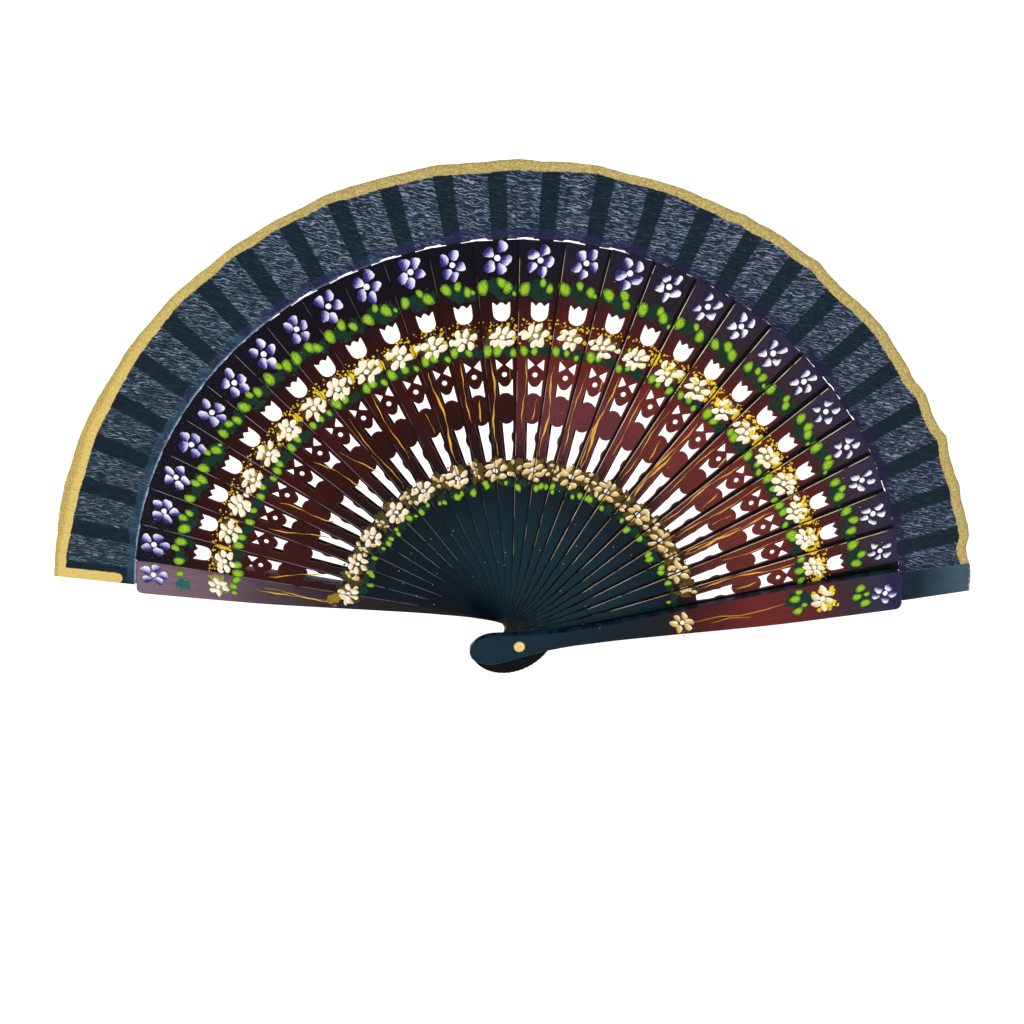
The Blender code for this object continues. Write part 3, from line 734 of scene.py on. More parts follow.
def leaf_piece(k):
    """The cloth from member k's left fold to the next member's left fold."""
    name = f"leaf_cloth_{k + 1:02d}"
    stations = []
    if k == 0:
        stations = [("u", u) for u in (-5.3, -5.0, -4.4, -3.8, -3.2, -2.6, -2.0, -1.4, -0.8, -0.4)]
        stations += [("a", a) for a in (0.0, 0.45, 0.85, 1.15, 1.5, 1.65, 1.8, 1.9)]
    elif k == FRONT:
        stations = [("u", u) for u in (-7.3, -7.0, -6.0, -4.6, -3.8, -3.0, -1.5, 0.0, 1.5, 3.0, 4.5, 5.8, 6.6, 7.0)]
    else:
        stations = [("a", a) for a in (LEFT_FOLD, -0.7, -0.2, 0.3, 0.75, 0.95, 1.2, 1.5, 1.65, 1.8, 1.9)]
    if k < STICKS:
        stations += [("a", a) for a in (RIGHT_FOLD, 2.04, 2.15, 2.4, 2.7, 3.0, 3.3, 3.6, 3.9, 4.2, 4.4, 4.56, 4.64, 4.70, 4.76, 4.82, 4.88, 4.93, NEXT_FOLD)]
    elif k == STICKS:
        stations += [("t", t) for t in (0.0, 0.04, 0.1, 0.2, 0.35, 0.5, 0.62, 0.72, 0.79, 0.85, 0.9, 0.95, 1.0)]
    rows = 34 if k == 0 else 20
    front_verts, back_verts, fan, rim, gold_end, plain, backed = [], [], [], [], [], [], []
    for i, (kind, value) in enumerate(stations):
        for j in range(rows + 1):
            v = j / rows
            if kind == "a":
                a = value
                r0, r1 = lower_edge(a, k), outer_edge(k * PITCH + a)
                r = r0 + (r1 - r0) * v
                u, z = r * math.sin(math.radians(a)), r * math.cos(math.radians(a))
                y = cloth_y(a, k)
            elif kind == "u":
                u = value
                a_mid = math.degrees(math.asin(u / 190.0))
                r0, r1 = lower_edge(a_mid, k), outer_edge(k * PITCH + a_mid)
                if k == 0 and u < -2.0:
                    r0 += 0.35 * smoothstep((-2.0 - u) / 3.0)
                if k == FRONT:
                    r1 = min(r1, 208.8) + 0.12 * math.sin(u) + 0.08 * wobble(u, 4)
                r = r0 + (r1 - r0) * v
                z = math.sqrt(max(r * r - u * u, 1.0))
                a = math.degrees(math.atan2(u, z))
                y = -0.175
                if k == FRONT:
                    ridge = math.exp(-((u + 4.6 - 1.6 * (r - 178) / 26.0) / 0.5) ** 2)
                    y = -0.69 - 0.10 * ridge
            else:
                # from stick 26's right fold to the edge of the front guard's tongue
                a0 = RIGHT_FOLD
                a_end = PITCH + math.degrees(math.asin(-7.3 / 190.0))
                r0 = lower_edge(a0 + (a_end - a0) * value, k)
                r1 = outer_edge(k * PITCH + a0 + (a_end - a0) * value)
                r = r0 + (r1 - r0) * v
                a1 = PITCH + math.degrees(math.asin(-7.3 / r))
                a = a0 + (a1 - a0) * value
                u, z = r * math.sin(math.radians(a)), r * math.cos(math.radians(a))
                y = -0.375 - 0.085 * smoothstep(value / 0.15) - 1.23 * smoothstep((value - 0.72) / 0.28)
            front_verts.append(at(k, u, z, y - CLOTH_T / 2))
            back_verts.append(at(k, u, z, y + CLOTH_T / 2))
            fan.append((a, r, float(k)))
            phi = k * PITCH + a
            inner = gold_inner(phi)
            rim.append(inner)
            strip = -5.0
            if k == 0:
                # a bar of gold 5 mm wide along the leaf's end, rounded where it stops short of the lower edge
                half_w = 2.45
                du, dr = u + 5.3 - half_w, 184.2 - r
                strip = half_w - (abs(du) if dr < 0 else math.hypot(du, dr))
            gold_end.append(strip)
            plain.append(1.0 if k == FRONT else 0.0)
            backed.append(1.0 if (kind == "u") else 0.0)
    n, count = rows + 1, len(front_verts)
    faces = []
    for i in range(len(stations) - 1):
        for j in range(rows):
            a0, a1, b0, b1 = i * n + j, i * n + j + 1, (i + 1) * n + j, (i + 1) * n + j + 1
            faces.append((a0, a1, b1, b0))
            faces.append((a0 + count, b0 + count, b1 + count, a1 + count))
    last = len(stations) - 1
    for j in range(rows):
        faces.append((j, j + count, j + 1 + count, j + 1))
        faces.append((last * n + j, last * n + j + 1, last * n + j + 1 + count, last * n + j + count))
    for i in range(last):
        faces.append((i * n, (i + 1) * n, (i + 1) * n + count, i * n + count))
        faces.append((i * n + rows, i * n + rows + count, (i + 1) * n + rows + count, (i + 1) * n + rows))
    me = bpy.data.meshes.new(name)
    me.from_pydata(front_verts + back_verts, [], faces)
    bm = bmesh.new()
    bm.from_mesh(me)
    bmesh.ops.recalc_face_normals(bm, faces=bm.faces)
    for f in bm.faces:
        f.smooth = True
    for e in bm.edges:
        if len(e.link_faces) == 2 and e.link_faces[0].normal.angle(e.link_faces[1].normal, 0.0) > 0.7:
            e.smooth = False
    bm.to_mesh(me)
    bm.free()
    set_attribute(me, "fan", "FLOAT_VECTOR", "POINT", fan + fan)
    set_attribute(me, "rim", "FLOAT", "POINT", rim + rim)
    set_attribute(me, "gold_end", "FLOAT", "POINT", gold_end + gold_end)
    set_attribute(me, "no_gold", "FLOAT", "POINT", plain + plain)
    set_attribute(me, "backed", "FLOAT", "POINT", backed + backed)
    me.materials.append(CLOTH)
    ob = link_object(name, me)
    if k == FRONT:
        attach(ob, BODY[k])
    elif k == STICKS:
        r0 = 175.9
        start_u = -r0 * math.sin(math.radians(PITCH - RIGHT_FOLD))
        at(FRONT, start_u, 190.0, 0.0)
        at(FRONT, -7.3, 190.0, 0.0)
        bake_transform(ob)
    else:
        middle = math.radians((RIGHT_FOLD + NEXT_FOLD) / 2)
        half = 175.8 * math.tan(math.radians((NEXT_FOLD - RIGHT_FOLD) / 2))
        ends = [at(k, 190.0 * math.sin(middle) + s * half * math.cos(middle), 190.0 * math.cos(middle) - s * half * math.sin(middle), 0.0) for s in (-1, 1)]
        BODY[k]
        BODY[k + 1]
        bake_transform(ob)
    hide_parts(f"leaf_pleat_{k + 1:02d}")
    rests = [slips[k - 1]] if 0 < k < FRONT else [rear_tongue if k == 0 else front_tongue]
    if k < STICKS:
        rests = rests + [slips[k]]
    return ob


leaf = [leaf_piece(k) for k in range(FRONT + 1)]

# ------------------------------------------------------------------ hand painting
BLUE, LILAC, WHITE = rgb("#29246e"), rgb("#9c95c8"), rgb("#e9e7f2")
CREAM, CREAM_HI, CREAM_LO = rgb("#e9ddc2"), rgb("#fbf8ee"), rgb("#c9b98c")
YELLOW, OCHRE = rgb("#d8b81e"), rgb("#9a7a18")
LIME, LIME_RIM, LIME_HI = rgb("#8db51f"), rgb("#46701a"), rgb("#a8cc2c")
FOREST = rgb("#0a2b1d")
GOLD, GOLD_HI, GOLD_LO = rgb("#d09a22"), rgb("#f0c658"), rgb("#b07a16")
OLD_CREAM, OLD_CREAM_HI, OLD_CREAM_LO = rgb("#cdac6c"), rgb("#f3e8c8"), rgb("#7d5a20")


class Brush:
    """Gathers the paint on one member as closed raised strokes, in one mesh."""

    def __init__(self, k):
        self.k = k
        self.verts, self.faces, self.colours, self.fan = [], [], [], []

    def add(self, points, faces, colours):
        n = len(self.verts)
        for (u, r, y), c in zip(points, colours):
            self.verts.append(at(self.k, u, r, y))
            self.fan.append((u, r, float(self.k)))
            self.colours.append(c)
        self.faces.extend(tuple(i + n for i in f) for f in faces)

    def finish(self, name, body):
        me = bpy.data.meshes.new(name)
        me.from_pydata(self.verts, [], self.faces)
        for p in me.polygons:
            p.use_smooth = True
        set_attribute(me, "fan", "FLOAT_VECTOR", "POINT", self.fan)
        set_attribute(me, "paint", "FLOAT_COLOR", "POINT", self.colours)
        me.materials.append(PAINT)
        ob = link_object(name, me)
        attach(ob, body)
        return ob


brushes = {k: Brush(k) for k in range(FRONT + 1)}
SURFACE = {k: -0.4 for k in range(1, STICKS + 1)}
SURFACE[FRONT] = -3.4
SURFACE[0] = 0.05


def edge_side(m, u, r):
    """How far inside member m's left edge a place is, in mm; the member to the left is hidden beyond it."""
    if m == FRONT:
        return u + 2.75 + 0.0408 * r
    if m == 0:
        return 50.0
    return u + 2.55 + 0.0486 * r


def stroke_on(m, points, faces, colours, k):
    """Puts a stroke, given in member k's coordinates, on member m, cut to the part of m that shows."""
    pts = [carry(k, u, r, m) for u, r, y in points]
    lift = SURFACE[m]
    inside = [edge_side(m, *p) for p in pts]
    after = [-edge_side(m + 1, *carry(m, *p, m + 1)) if m < FRONT else 50.0 for p in pts]
    if m == 0:
        inside = [p[0] + 9.0 for p in pts]
    shown = [(p[0], p[1], y + lift) for p, (_, _, y) in zip(pts, points)]
    left_cut, right_cut = 0.16, 0.05
    if min(inside) > left_cut and min(after) > right_cut:
        brushes[m].add(shown, faces, colours)
        return
    if max(inside) < left_cut + 0.15 or max(after) < right_cut + 0.1:
        return
    bm = bmesh.new()
    layer_c = bm.verts.layers.float_vector.new("c")
    vs = []
    for p, c in zip(shown, colours):
        v = bm.verts.new((p[0], p[1], p[2]))
        v[layer_c] = c[:3]
        vs.append(v)
    for f in faces:
        bm.faces.new([vs[i] for i in f])
    cuts = []
    if m > 0:
        if m == FRONT:
            cuts.append(((left_cut - 2.75, 0.0), (1.0, 0.0408)))
        else:
            cuts.append(((left_cut - 2.55, 0.0), (1.0, 0.0486)))
    if m < FRONT:
        # the next member's left edge as a line in m's coordinates
        a, b = (2.75, 0.0408) if m + 1 == FRONT else (2.55, 0.0486)
        p0 = carry(m + 1, -a - right_cut, 0.0, m)
        p1 = carry(m + 1, -a - right_cut + 1.0, b, m)
        cuts.append((p0, (-(p1[0] - p0[0]), -(p1[1] - p0[1]))))
    for (pu, pr), (nu, nr) in cuts:
        geom = bm.verts[:] + bm.edges[:] + bm.faces[:]
        res = bmesh.ops.bisect_plane(bm, geom=geom, dist=1e-5, plane_co=(pu, pr, 0.0), plane_no=(nu, nr, 0.0), clear_inner=True)
        cut = [e for e in res["geom_cut"] if isinstance(e, bmesh.types.BMEdge) and e.is_valid]
        if cut:
            bmesh.ops.holes_fill(bm, edges=cut, sides=0)
        if not bm.faces:
            break
    if bm.faces:
        bm.verts.index_update()
        pts2 = [tuple(v.co) for v in bm.verts]
        cols = [(*v[layer_c], 1.0) for v in bm.verts]
        brushes[m].add(pts2, [tuple(v.index for v in f.verts) for f in bm.faces], cols)
    bm.free()


def spread_stroke(k, points, faces, colours, whole=False):
    """Paints a stroke on every member it reaches."""
    if whole:
        stroke_on_one(k, points, faces, colours)
        return
    for m in range(max(0, k - 2), min(FRONT, k + 2) + 1):
        stroke_on(m, points, faces, colours, k)


def stroke_on_one(k, points, faces, colours):
    lift = SURFACE[k]
    brushes[k].add([(u, r, y + lift) for u, r, y in points], faces, colours)


def dab(k, u, r, length, width, angle, height, shade, rnd, taper=0.0, n=14, rough=0.06, whole=False, ridge=0.0):
    """One raised dab of paint: an oval or petal, domed, closed underneath. shade(s, t, h) gives its colour; s runs along it and t across it."""
    ca, sa = math.cos(angle), math.sin(angle)
    phase = rnd.uniform(0, 6.28)
    rim = [1.0 + rough * math.sin(2 * math.pi * i / n * 3 + phase) + rnd.uniform(-rough, rough) * 0.6 for i in range(n)]
    points, colours = [], []
    rings = ((1.0, None), (0.93, 0.50), (0.78, 0.82), (0.56, 0.95), (0.28, 1.0)) if n > 11 else ((1.0, None), (0.88, 0.60), (0.5, 1.0))
    for size, h in rings:
        for i in range(n):
            th = 2 * math.pi * i / n
            s = size * rim[i] * math.cos(th)
            t = size * rim[i] * math.sin(th) * (1.0 + taper * s)
            x, z = s * length / 2, t * width / 2
            if h is None:
                y = 0.03
            else:
                y = -height * h * (1.0 - ridge * (0.5 + 0.5 * math.sin(t * 7.0 + phase)))
            points.append((u + x * ca - z * sa, r + x * sa + z * ca, y))
            colours.append(shade(s, t, 0.0 if h is None else h))
    points.append((u, r, -height * 0.97))
    colours.append(shade(0.0, 0.0, 1.0))
    faces = []
    last = len(rings) - 1
    for q in range(last):
        for i in range(n):
            i1 = (i + 1) % n
            faces.append((q * n + i, (q + 1) * n + i, (q + 1) * n + i1, q * n + i1))
    c = (last + 1) * n
    for i in range(n):
        faces.append((last * n + i, c, last * n + (i + 1) % n))
    faces.append(tuple(range(n)))
    spread_stroke(k, points, faces, colours, whole)


def smudge(k, u, r, wide, tall, colour, rnd, height=0.035, n=30, whole=False):
    """A thin uneven patch of paint."""
    phase = [rnd.uniform(0, 6.28) for _ in range(3)]
    rim = [1.0 + 0.20 * math.sin(2 * math.pi * i / n * 2 + phase[0]) + 0.14 * math.sin(2 * math.pi * i / n * 5 + phase[1]) + rnd.uniform(-0.16, 0.16) for i in range(n)]
    if wide > 4.0:
        for _ in range(7):
            th, far, s = rnd.uniform(0, 6.28), rnd.uniform(0.52, 0.66), rnd.uniform(0.4, 1.3)
            dab(k, u + far * wide * math.cos(th), r + far * tall * math.sin(th), 1.3 * s, s, rnd.uniform(-1.5, 1.5), height, plain_shade(colour, colour, colour, 0.0, rnd), rnd, n=8, rough=0.2, whole=whole)
    points, colours = [], []
    for size, h in ((1.0, None), (0.92, 0.8), (0.5, 1.0)):
        for i in range(n):
            th = 2 * math.pi * i / n
            points.append((u + size * rim[i] * wide / 2 * math.cos(th), r + size * rim[i] * tall / 2 * math.sin(th), 0.03 if h is None else -height * h))
            dark = rnd.uniform(0.75, 1.2)
            colours.append((colour[0] * dark, colour[1] * dark, colour[2] * dark, 1.0))
    points.append((u, r, -height))
    colours.append(colour)
    faces = []
    for q in range(2):
        for i in range(n):
            i1 = (i + 1) % n
            faces.append((q * n + i, (q + 1) * n + i, (q + 1) * n + i1, q * n + i1))
    for i in range(n):
        faces.append((2 * n + i, 3 * n, 2 * n + (i + 1) % n))
    faces.append(tuple(range(n)))
    spread_stroke(k, points, faces, colours, whole)


def line(k, path, widths, height, colour, highlight, rnd, whole=True):
    """A brushed line along path, a list of (u, r), with a width at each point."""
    points, colours, faces = [], [], []
    n = len(path)
    for i, (u, r) in enumerate(path):
        a, b = path[max(0, i - 1)], path[min(n - 1, i + 1)]
        dx, dy = b[0] - a[0], b[1] - a[1]
        size = math.hypot(dx, dy) or 1.0
        nx, ny = dy / size, -dx / size
        w = widths[i] / 2
        shade = rnd.uniform(0.8, 1.12)
        for t, y in ((-1.0, 0.03), (-0.62, -height * 0.7), (0.0, -height), (0.62, -height * 0.7), (1.0, 0.03)):
            points.append((u + nx * w * t, r + ny * w * t, y))
            c = mix3(colour, highlight, 0.75 - 0.75 * abs(t + 0.25))
            colours.append((c[0] * shade, c[1] * shade, c[2] * shade, 1.0))
    for i in range(n - 1):
        for j in range(4):
            a0, b0 = i * 5 + j, (i + 1) * 5 + j
            faces.append((a0, b0, b0 + 1, a0 + 1))
        faces.append((i * 5 + 4, (i + 1) * 5 + 4, (i + 1) * 5, i * 5))
    faces.append((0, 1, 2, 3, 4))
    e = (n - 1) * 5
    faces.append((e + 4, e + 3, e + 2, e + 1, e))
    spread_stroke(k, points, faces, colours, whole)


def violet_shade(side, white, rnd, cool=0.0):
    k1 = rnd.uniform(-0.15, 0.25)
    blue, lilac = mix3(BLUE, rgb("#17153f"), cool), mix3(LILAC, rgb("#aaa2bb"), cool)

    def shade(s, t, h):
        x = (s * math.cos(side) + t * math.sin(side)) + k1 + 0.10 * math.sin(t * 11 + s * 3 + k1 * 40)
        x += 0.16 * math.sin(t * 23 + k1 * 90) * (0.4 + abs(s))
        c = mix3(blue, lilac, (x + 0.30) / 0.55)
        c = mix3(c, WHITE, (x - 0.30 + white) / 0.75)
        return c
    return shade


def plain_shade(lo_c, mid_c, hi_c, side, rnd):
    k1 = rnd.uniform(-0.15, 0.2)

    def shade(s, t, h):
        x = (s * math.cos(side) + t * math.sin(side)) + k1
        c = mix3(lo_c, mid_c, (x + 1.05) / 0.8)
        return mix3(c, hi_c, (x - 0.1) / 0.9)
    return shade


def leaf_shade(rnd):
    k1 = rnd.uniform(0.0, 6.0)

    def shade(s, t, h):
        d = math.hypot(s, t)
        c = mix3(LIME, LIME_RIM, (d - 0.62) / 0.16)
        if d > 0.97:
            c = mix3(LIME, LIME_RIM, 0.45)
        if 0.2 < d < 0.7 and math.sin(s * 9 + k1) * math.cos(t * 8 + k1) > 0.45:
            c = mix3(c, LIME_RIM, 0.65)
        return c
    return shade


def violet(k, u, r, rnd, size=1.0, whole=False, white=0.0, dist=1.0):
    """A five-petalled violet: each petal is one double-loaded stroke, blue to white, leaning up and to the right."""
    lean = math.radians(58)
    full = 1.0 if k < 17 else 0.86
    cool = smoothstep((k - 13) / 6.0)
    if k == FRONT:
        cool = 0.35
    white = white + 0.30 * cool + 0.16 * smoothstep((k - 6) / 5.0)
    base = rnd.uniform(-14, 14)
    spots = [(134, 4.1), (58, 4.4), (-20, 3.9), (-92, 5.2), (-143, 4.7)]
    for a, d in spots:
        a = math.radians(a + base + rnd.uniform(-9, 9))
        d = d * size * dist * rnd.uniform(0.9, 1.08)
        along = lean + rnd.uniform(-0.35, 0.35)
        # a petal points half along the brush's lean and half out from the middle
        out = a if math.cos(a - along) > 0 else a + math.pi
        diff = (out - along + math.pi) % (2 * math.pi) - math.pi
        ang = along + 0.35 * diff
        side = -math.pi / 2 + 0.5 + rnd.uniform(-0.25, 0.25)
        dab(k, u + d * math.cos(a), r + d * math.sin(a), full * size * rnd.uniform(4.6, 5.5), full * size * rnd.uniform(3.8, 4.6), ang, 0.15, violet_shade(side, white, rnd, cool), rnd, taper=0.20, rough=0.11, n=22, whole=whole, ridge=0.35)
    dab(k, u, r, 2.7 * size, 2.6 * size, 0.0, 0.165, plain_shade(WHITE, WHITE, WHITE, 0.0, rnd), rnd, n=12, rough=0.03, whole=whole)


def cream_flower(k, u, r, rnd, size=1.0, petals=6, whole=False, warm=0.0, stretch=1.0):
    """A cream flower of separate thick strokes round a pale middle."""
    base = rnd.uniform(-15, 15)
    lo_c, mid_c, hi_c = mix3(CREAM_LO, OLD_CREAM_LO, warm), mix3(CREAM, OLD_CREAM, warm), mix3(CREAM_HI, OLD_CREAM_HI, warm)
    for i in range(petals):
        a = math.radians(base + 360.0 * i / petals + 22 + rnd.uniform(-10, 10))
        d = 3.55 * size * rnd.uniform(0.88, 1.15)
        if 137.9 + d * math.sin(a) > 141.0 and not whole and abs(math.cos(a)) < 0.75:
            d *= 0.85
        lean = math.radians(42) + rnd.uniform(-0.25, 0.25)
        out = a if math.cos(a - lean) > 0 else a + math.pi
        diff = (out - lean + math.pi) % (2 * math.pi) - math.pi
        ang = lean + 0.45 * diff
        dab(k, u + d * math.cos(a) * stretch, r + d * math.sin(a), size * rnd.uniform(3.9, 4.8), size * rnd.uniform(2.4, 3.0), ang, 0.15, plain_shade(lo_c, mid_c, hi_c, math.pi / 2 + rnd.uniform(-0.5, 0.5), rnd), rnd, taper=0.14, rough=0.09, n=18, whole=whole, ridge=0.3)
    dab(k, u, r, 2.4 * size, 2.2 * size, 0.0, 0.165, plain_shade(CREAM_HI, WHITE, WHITE, 0.0, rnd), rnd, n=12, rough=0.04, whole=whole)


def leaf_dab(k, u, r, size, rnd, whole=False, angle=None):
    ang = math.radians(100 + rnd.uniform(-35, 35)) if angle is None else angle
    dab(k, u, r, 5.3 * size, 3.9 * size, ang, 0.14, leaf_shade(rnd), rnd, n=20, rough=0.05, whole=whole, ridge=0.3)


def vine(k, u0, u1, r0, r1, width, rnd, wave=0.7, height=0.11):
    n = 26
    phase, rate = rnd.uniform(0, 6.28), rnd.uniform(0.10, 0.17)
    path, widths = [], []
    for i in range(n):
        t = i / (n - 1)
        r = r0 + (r1 - r0) * t
        u = u0 + (u1 - u0) * t + wave * math.sin(r * rate + phase) * math.sin(math.pi * t) ** 0.5 + 0.12 * math.sin(r * 0.9 + phase)
        path.append((u, r))
        widths.append(max(0.10, width * (0.65 + 0.45 * math.sin(r * 0.37 + phase)) * min(1.0, 4 * t + 0.2, 4 * (1 - t) + 0.25)))
    line(k, path, widths, height, GOLD_LO, GOLD_HI, rnd)


for k in range(1, STICKS + 1):
    rnd = random.Random(4000 + k)
    j = lambda s: rnd.uniform(-s, s)
    # ground smudges first, so that the thick strokes stand on them
    smudge(k, -4.0 + j(1.0), 157.0 + j(0.6), 7.0, 5.6, FOREST, rnd)
    smudge(k, 2.6 + j(1.2), 156.0 + j(0.8), 6.4, 6.4, FOREST, rnd)
    if rnd.random() < 0.6:
        smudge(k, -1.0 + j(1.5), 153.6 + j(0.5), 5.0, 3.2, FOREST, rnd)
    smudge(k, -3.4 + j(0.8), 131.2 + j(0.5), 7.5, 4.4, FOREST, rnd)
    smudge(k, 2.2 + j(0.8), 131.0 + j(0.5), 5.6, 4.6, FOREST, rnd)
    smudge(k, -1.6 + j(1.0), 137.6 + j(0.6), 11.0, 8.6, rgb("#3f2f10"), rnd, 0.025)
    smudge(k, -1.6 + j(1.4), 138.0 + j(0.8), 6.4, 5.4, rgb("#8c7a2a"), rnd, 0.045)
    # violet
    white = 0.25 if k in (2, 3, 6, 7, 14, 17) else 0.0
    drop = 1.4 * smoothstep((k - 1) / 2.0) * smoothstep((10 - k) / 3.0)
    violet(k, -1.9 + j(0.9), 168.3 - drop + j(0.5), rnd, size=rnd.uniform(0.90, 1.0), white=white, dist=rnd.uniform(0.90, 1.0))
    # leaves under the violet
    leaf_dab(k, -7.6 + j(1.6), 157.2 + j(1.2), rnd.uniform(0.95, 1.25), rnd)
    leaf_dab(k, -1.5 + j(1.4), 158.8 + j(0.8), rnd.uniform(0.65, 1.0), rnd)
    leaf_dab(k, 1.9 + j(0.9), 156.9 + j(0.9), rnd.uniform(0.8, 1.15), rnd)
    if rnd.random() < 0.5:
        leaf_dab(k, 4.9 + j(0.6), 155.4 + j(1.5), 0.45, rnd)
    # cream band
    cream_flower(k, -1.6 + j(0.8), 137.2 + j(0.5), rnd, size=rnd.uniform(0.92, 1.04), petals=rnd.choice((6, 6, 7)))
    for _ in range(2):
        a = rnd.uniform(0, 6.28)
        dab(k, -1.6 + 6.0 * math.cos(a), 137.4 + 3.2 * math.sin(a), rnd.uniform(2.6, 3.8), rnd.uniform(1.8, 2.4), math.radians(40) + j(0.5), 0.14, plain_shade(CREAM_LO, CREAM, CREAM_HI, 1.5, rnd), rnd, n=16, rough=0.10)
    for du, dr, s in ((4.6, -1.2, 1.0), (-6.6, 1.5, 0.75), (4.2, 3.2, 0.7)):
        if rnd.random() < 0.8:
            dab(k, du + j(0.8), 138.0 + dr + j(0.8), 2.0 * s, 1.9 * s, j(1.5), 0.13, plain_shade(OCHRE, YELLOW, YELLOW, 1.5, rnd), rnd, n=10)
    if rnd.random() < 0.45:
        smudge(k, 4.9 + j(0.6), 138.5 + j(1.4), 2.6, 5.5, YELLOW, rnd, 0.06)
    for _ in range(30):
        s = rnd.uniform(0.35, 0.95)
        dab(k, rnd.uniform(-9.0, 5.6), rnd.choice((rnd.uniform(141.5, 144.5), rnd.uniform(134.0, 144.0))), 1.3 * s, 1.0 * s, j(1.5), 0.07, plain_shade(OCHRE, YELLOW, YELLOW, 1.5, rnd), rnd, n=7)
    if k >= 18:
        for _ in range(10 if k in (20, 21, 23, 24, 25, 26) else 5):
            dab(k, -2.0 + j(4.5), 140.0 + j(3.2), rnd.uniform(1.4, 3.0), rnd.uniform(1.0, 1.8), j(1.5), 0.155, plain_shade(OCHRE, YELLOW, rgb("#ffe25a"), 1.5, rnd), rnd, n=12, rough=0.12)
    # leaves under the cream band
    leaf_dab(k, -6.4 + j(1.0), 131.4 + j(1.2), rnd.uniform(0.75, 1.15), rnd, angle=math.radians(98 + j(18)))
    leaf_dab(k, -2.4 + j(1.2), 131.6 + j(0.8), rnd.uniform(0.65, 1.1), rnd)
    if rnd.random() < 0.55:
        leaf_dab(k, 2.6 + j(1.0), 130.6 + j(0.8), rnd.uniform(0.55, 0.85), rnd)
    # lower cream band: one flower across every other edge
    left = -(2.55 + 0.0486 * 79.0)
    warm = min(1.0, max(0.15, (k - 9) / 5.0))
    if k % 2 == 1:
        smudge(k, left + 0.3, 78.8, 9.6, 10.4, rgb("#4a3a12"), rnd, 0.03)
        smudge(k, left + 0.3, 81.2, 6.0, 4.6, rgb("#6a5118"), rnd, 0.045)
        cream_flower(k, left + j(0.5), 78.8 + j(0.6), rnd, size=0.96, petals=6, warm=warm)
        for _ in range(2):
            a = rnd.uniform(0, 6.28)
            dab(k, left + 4.6 * math.cos(a), 78.8 + 4.6 * math.sin(a), rnd.uniform(2.4, 3.2), rnd.uniform(1.6, 2.2), j(1.5), 0.135, plain_shade(OLD_CREAM_LO, OLD_CREAM, CREAM_HI, 1.5, rnd), rnd, n=14, rough=0.1)
    else:
        smudge(k, left + 0.2 + j(0.5), 79.6 + j(0.6), 6.8, 9.6, rgb("#4f3c12") if k > 8 else rgb("#3c3d18"), rnd, 0.05)
        for _ in range(6):
            dab(k, left + 0.4 + j(2.6), 79.6 + j(3.4), rnd.uniform(2.0, 3.2), rnd.uniform(1.5, 2.1), j(1.5), 0.12, plain_shade(OLD_CREAM_LO, OLD_CREAM, CREAM_HI, 1.5, rnd), rnd, n=10)
    smudge(k, -2.0 + j(1.6), 72.6 + j(0.6), 5.6, 3.4, FOREST, rnd, 0.03)
    for _ in range(rnd.choice((1, 2, 2, 3))):
        leaf_dab(k, rnd.uniform(-5.4, 1.0), 71.6 + j(1.5), rnd.uniform(0.40, 0.80), rnd)
    # gold vines down the stick
    kind = rnd.random()
    if k in (11, 13, 15, 17, 20, 22, 24, 26):
        vine(k, -5.9 + j(0.5), -4.9 + j(0.4), 127.5 + j(2), 85.5, rnd.uniform(0.85, 1.15), rnd, wave=1.1)
        if k in (17, 20, 24):
            vine(k, -5.2, -4.6, 112.0, 84.5, 1.3, rnd, wave=0.9)
    elif k in (9, 12, 14, 18, 21, 25):
        vine(k, -5.6 + j(0.6), -4.6 + j(0.4), 128.0, 97.0 + j(6), rnd.uniform(0.45, 0.6), rnd, wave=0.8)
    elif k >= 8 and kind < 0.62:
        vine(k, -5.8 + j(0.5), -4.8 + j(0.5), 126.0 + j(3), 88.0 + j(3), rnd.uniform(0.4, 0.7), rnd, wave=0.9)
    elif kind < 0.75:
        vine(k, -6.0 + j(0.5), 1.0 + j(0.8), 119.0 + j(4), 92.0 + j(3), rnd.uniform(0.5, 0.7), rnd, wave=1.2)
    if k in (10, 12, 14, 19, 22, 23, 26):
        vine(k, -0.5 + j(1.2), -0.3 + j(1.0), 111.0, 101.3, rnd.uniform(0.6, 0.8), rnd, wave=0.4)
    if k in (13, 16, 21):
        vine(k, 1.6 + j(0.2), 1.9, 124.2, 118.2, 0.7, rnd, wave=0.2)
